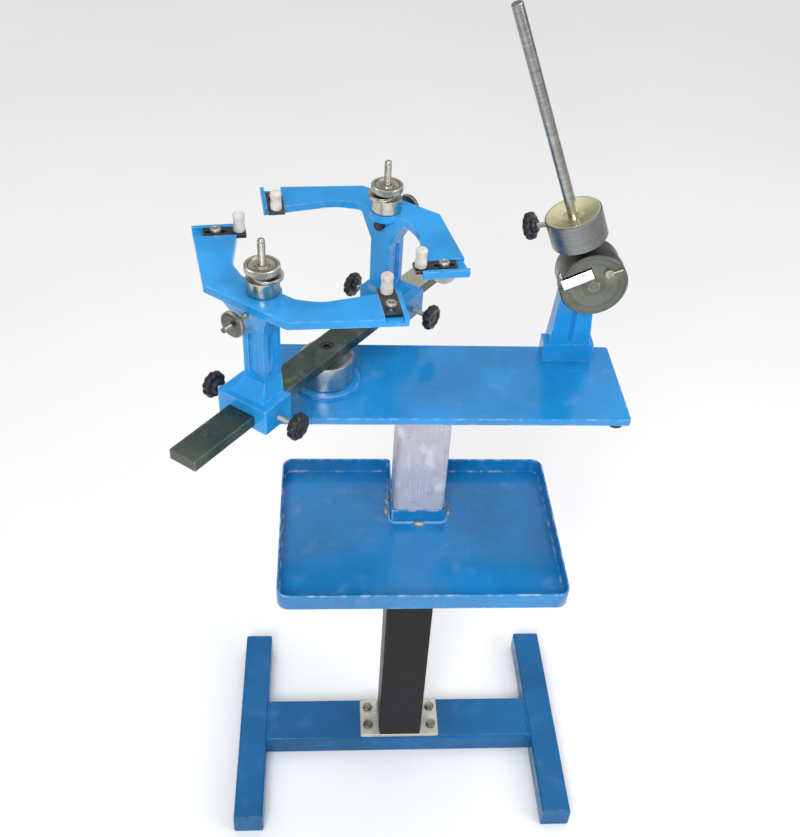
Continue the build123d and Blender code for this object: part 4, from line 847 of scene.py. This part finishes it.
def bevel_node(name, width, segments=2):
    """Rounds the sharp edges of a CAD node by modifiers."""
    piece = nodes[name]
    weld = piece.modifiers.new("weld", "WELD")
    weld.merge_threshold = 0.01 * MM
    flat = piece.modifiers.new("flat", "DECIMATE")
    flat.decimate_type = "DISSOLVE"
    flat.angle_limit = math.radians(0.6)
    rounding = piece.modifiers.new("rounding", "BEVEL")
    rounding.width = width
    rounding.segments = segments
    rounding.limit_method = "ANGLE"
    rounding.angle_limit = math.radians(32)
    rounding.use_clamp_overlap = True
    rounding.harden_normals = True


def dress(names, material):
    """Gives CAD nodes a material."""
    for name in names:
        slots = nodes[name].data.materials
        slots.clear()
        slots.append(material)


# ---------------------------------------------------------------- the machine
set_camera()
set_light()
make_floor()

BAR_AXIS = Vector(joints["near_carriage_slide"]["axis"])
BAR_TURN = math.atan2(BAR_AXIS.y, BAR_AXIS.x)
PIVOT = Vector(joints["turntable_spin"]["pos_m"])
HEAD = Vector(joints["lever_swing"]["pos_m"])
ROD_AXIS = Vector(joints["weight_slide"]["axis"])

casting_paint = enamel("casting_enamel", CASTING_BLUE, lumps=120.0, scuffs=0.08, rim_width=1.6 * MM,
                       wear_share=0.55, shine=0.55)
plate_paint = enamel("plate_enamel", PLATE_BLUE, lumps=45.0, scuffs=0.16, rim_width=3.2 * MM,
                     wear_share=0.85, shine=0.75)
tray_paint = enamel("tray_enamel", TRAY_BLUE, lumps=40.0, scuffs=0.20, rim_width=4.0 * MM,
                    wear_share=1.0, shine=0.70)
base_paint = enamel("base_enamel", BASE_BLUE, lumps=60.0, scuffs=0.08, rim_width=1.4 * MM,
                    wear_share=0.35, shine=0.30)
seam_paint = enamel("seam_enamel", SEAM_BLUE, lumps=300.0, scuffs=0.5, rim_width=1.0 * MM,
                    wear_share=0.85, shine=0.6)
# Column: its pale clouds are painted reflections, and its dark corner tone is painted shade on the tube's
# rounded corners.
tube_steel = drawn("column_steel", TUBE_STEEL, stain=(0.50, 0.47, 0.54), stretch=(1.0, 1.0, 0.02),
                   roughness=0.34, pale=(0.88, 0.86, 0.88), corner=(0.22, 0.21, 0.23), Metallic=0.3)
flange_steel = drawn("flange_steel", (0.58, 0.56, 0.49), stain=(0.38, 0.36, 0.31), stretch=(0.03, 1.0, 1.0),
                     roughness=0.38, Metallic=0.45)
# Where the painted reflection on the top of the flat bar starts, along the bar
sheen_start_along_bar = PIVOT.dot(BAR_AXIS) + PAINTED_SHEEN_START
bar_steel = drawn("bar_steel", DARK_STEEL, stain=(0.15, 0.165, 0.13), stretch=(0.02, 1.0, 1.0), turn=BAR_TURN,
                  roughness=0.28, pale=(0.24, 0.25, 0.20),
                  painted_sheen=(sheen_start_along_bar, sheen_start_along_bar + PAINTED_SHEEN_RUN, BAR_AXIS))
zinc = drawn("zinc_fasteners", (0.52, 0.51, 0.47), stain=(0.34, 0.31, 0.24), stretch=(1.0, 1.0, 1.0),
             roughness=0.32)
channel_steel = drawn("channel_steel", (0.052, 0.052, 0.054), stain=(0.12, 0.115, 0.11),
                      stretch=(1.0, 0.05, 1.0), turn=0.8, roughness=0.30)
jaw_steel = drawn("jaw_steel", (0.90, 0.90, 0.88), stain=(0.76, 0.75, 0.72), stretch=(0.05, 1.0, 1.0),
                  roughness=0.12)
bolt_steel = drawn("bolt_steel", (0.24, 0.23, 0.20), stain=(0.12, 0.11, 0.09), stretch=(1.0, 1.0, 1.0),
                   roughness=0.34)
black_knob = moulded("black_knob", BLACKENED, worn=(0.09, 0.09, 0.09), roughness=0.24, grain=0.06,
                     Coat_Weight=0.12, Specular_IOR_Level=0.36)
label_black = moulded("label_black", (0.006, 0.006, 0.007), worn=(0.03, 0.03, 0.035), roughness=0.30,
                      grain=0.03, Specular_IOR_Level=0.22)
rubber = moulded("rubber_feet", (0.022, 0.021, 0.020), worn=(0.09, 0.085, 0.08), roughness=0.55, grain=0.3)
nylon = moulded("nylon", NYLON, worn=(0.62, 0.58, 0.50), roughness=0.32, grain=0.08, Subsurface_Weight=0.08)
weld_bare = weld_metal("weld_bare", (0.50, 0.47, 0.38))
hub_steel = turned("hub_steel", PIVOT, UP, (0.56, 0.56, 0.55), roughness=0.20)
drum_steel = turned("drum_steel", HEAD, BACK, (0.20, 0.20, 0.16), roughness=0.24)
disc_steel = turned("disc_steel", HEAD, BACK, (0.160, 0.174, 0.148), roughness=0.24, Anisotropic=0.85)
rod_steel = turned("rod_steel", HEAD, ROD_AXIS, (0.36, 0.36, 0.34), roughness=0.18, rings=0.14)
weight_steel = turned("weight_steel", HEAD, ROD_AXIS, (0.24, 0.245, 0.25), roughness=0.20,
                      face=BRASSY_STEEL)

dress(("left_leg", "right_leg", "leg_end_plates", "crossbar"), base_paint)
dress(("table_plate", "pivot_flange"), plate_paint)
dress(("tray", "tray_collar"), tray_paint)
dress(("near_mast", "far_mast", "tension_mast"), casting_paint)
dress(("column",), tube_steel)
dress(("base_flange", "head_flange"), flange_steel)
dress(("label_panel",), label_black)
dress(("plate_feet",), rubber)
dress(("turntable_bar",), bar_steel)
dress(("pivot_post", "turntable_hub", "hub_bearings"), hub_steel)
dress(("pivot_post_nuts", "head_bearings"), zinc)
dress(("bar_bolt",), channel_steel)
dress(("drum", "head_shaft"), drum_steel)
dress(("front_disc",), disc_steel)
dress(("gripper_jaw",), jaw_steel)
dress(("lever_rod",), rod_steel)
dress(("weight",), weight_steel)

mast_points = [(HEAD.x + reach, MAST_BOLTS_BACK) for reach in (-MAST_BOLTS, MAST_BOLTS)]
base_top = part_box("base_flange")[1].z
head_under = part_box("head_flange")[0].z
plate_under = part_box("table_plate")[0].z
bolt_group("base_hex_bolts", "flange_bolts", four_corners(*BASE_BOLTS), base_top, 1, BASE_SHANK,
           bolt_steel)
bolt_group("head_hex_bolts", "head_flange_bolts", four_corners(*HEAD_BOLTS), head_under, -1,
           HEAD_SHANK, zinc)
bolt_group("mast_hex_bolts", "tension_mast_bolts", mast_points, plate_under, -1, MAST_SHANK, zinc)

for side in SIDES:
    boss = Vector(joints[f"{side}_nut_turn"]["pos_m"])
    turn_joint = joints[f"{side}_adjuster_turn"]
    boss_steel = turned(f"{side}_boss_steel", boss, UP, (0.60, 0.57, 0.48), roughness=0.18)
    nut_steel = turned(f"{side}_nut_steel", boss, UP, (0.40, 0.38, 0.31), roughness=0.24)
    adjuster_steel = turned(f"{side}_adjuster_steel", turn_joint["pos_m"], turn_joint["axis"],
                            (0.17, 0.17, 0.14), roughness=0.26)
    dress((f"{side}_support_block", f"{side}_holddown_washer"), boss_steel)
    hold_down(side, nut_steel, boss_steel)
    adjuster(side, adjuster_steel, black_knob)
    pad_locks(side, zinc)
    for hand in HANDS:
        dress((f"{side}_{hand}_pad_slide",), channel_steel)
        pad_peg(side, hand, nylon)
        fluted_knob(f"{side}_{hand}", joints[f"{side}_{hand}_knob_turn"], SADDLE_GRIP, SADDLE_SCREW,
                    f"{side}_{hand}_knob", f"{side}_{hand}_lock_knob", black_knob, zinc)
fluted_knob("weight", joints["weight_knob_turn"], WEIGHT_GRIP, WEIGHT_SCREW, "weight_knob",
            "weight_lock_knob", black_knob, zinc)
jaw_screw(zinc)
panel_wings(label_black)
welds(base_paint, seam_paint, weld_bare)

for name, width in EDGE_ROUNDING.items():
    bevel_node(name, width * MM)
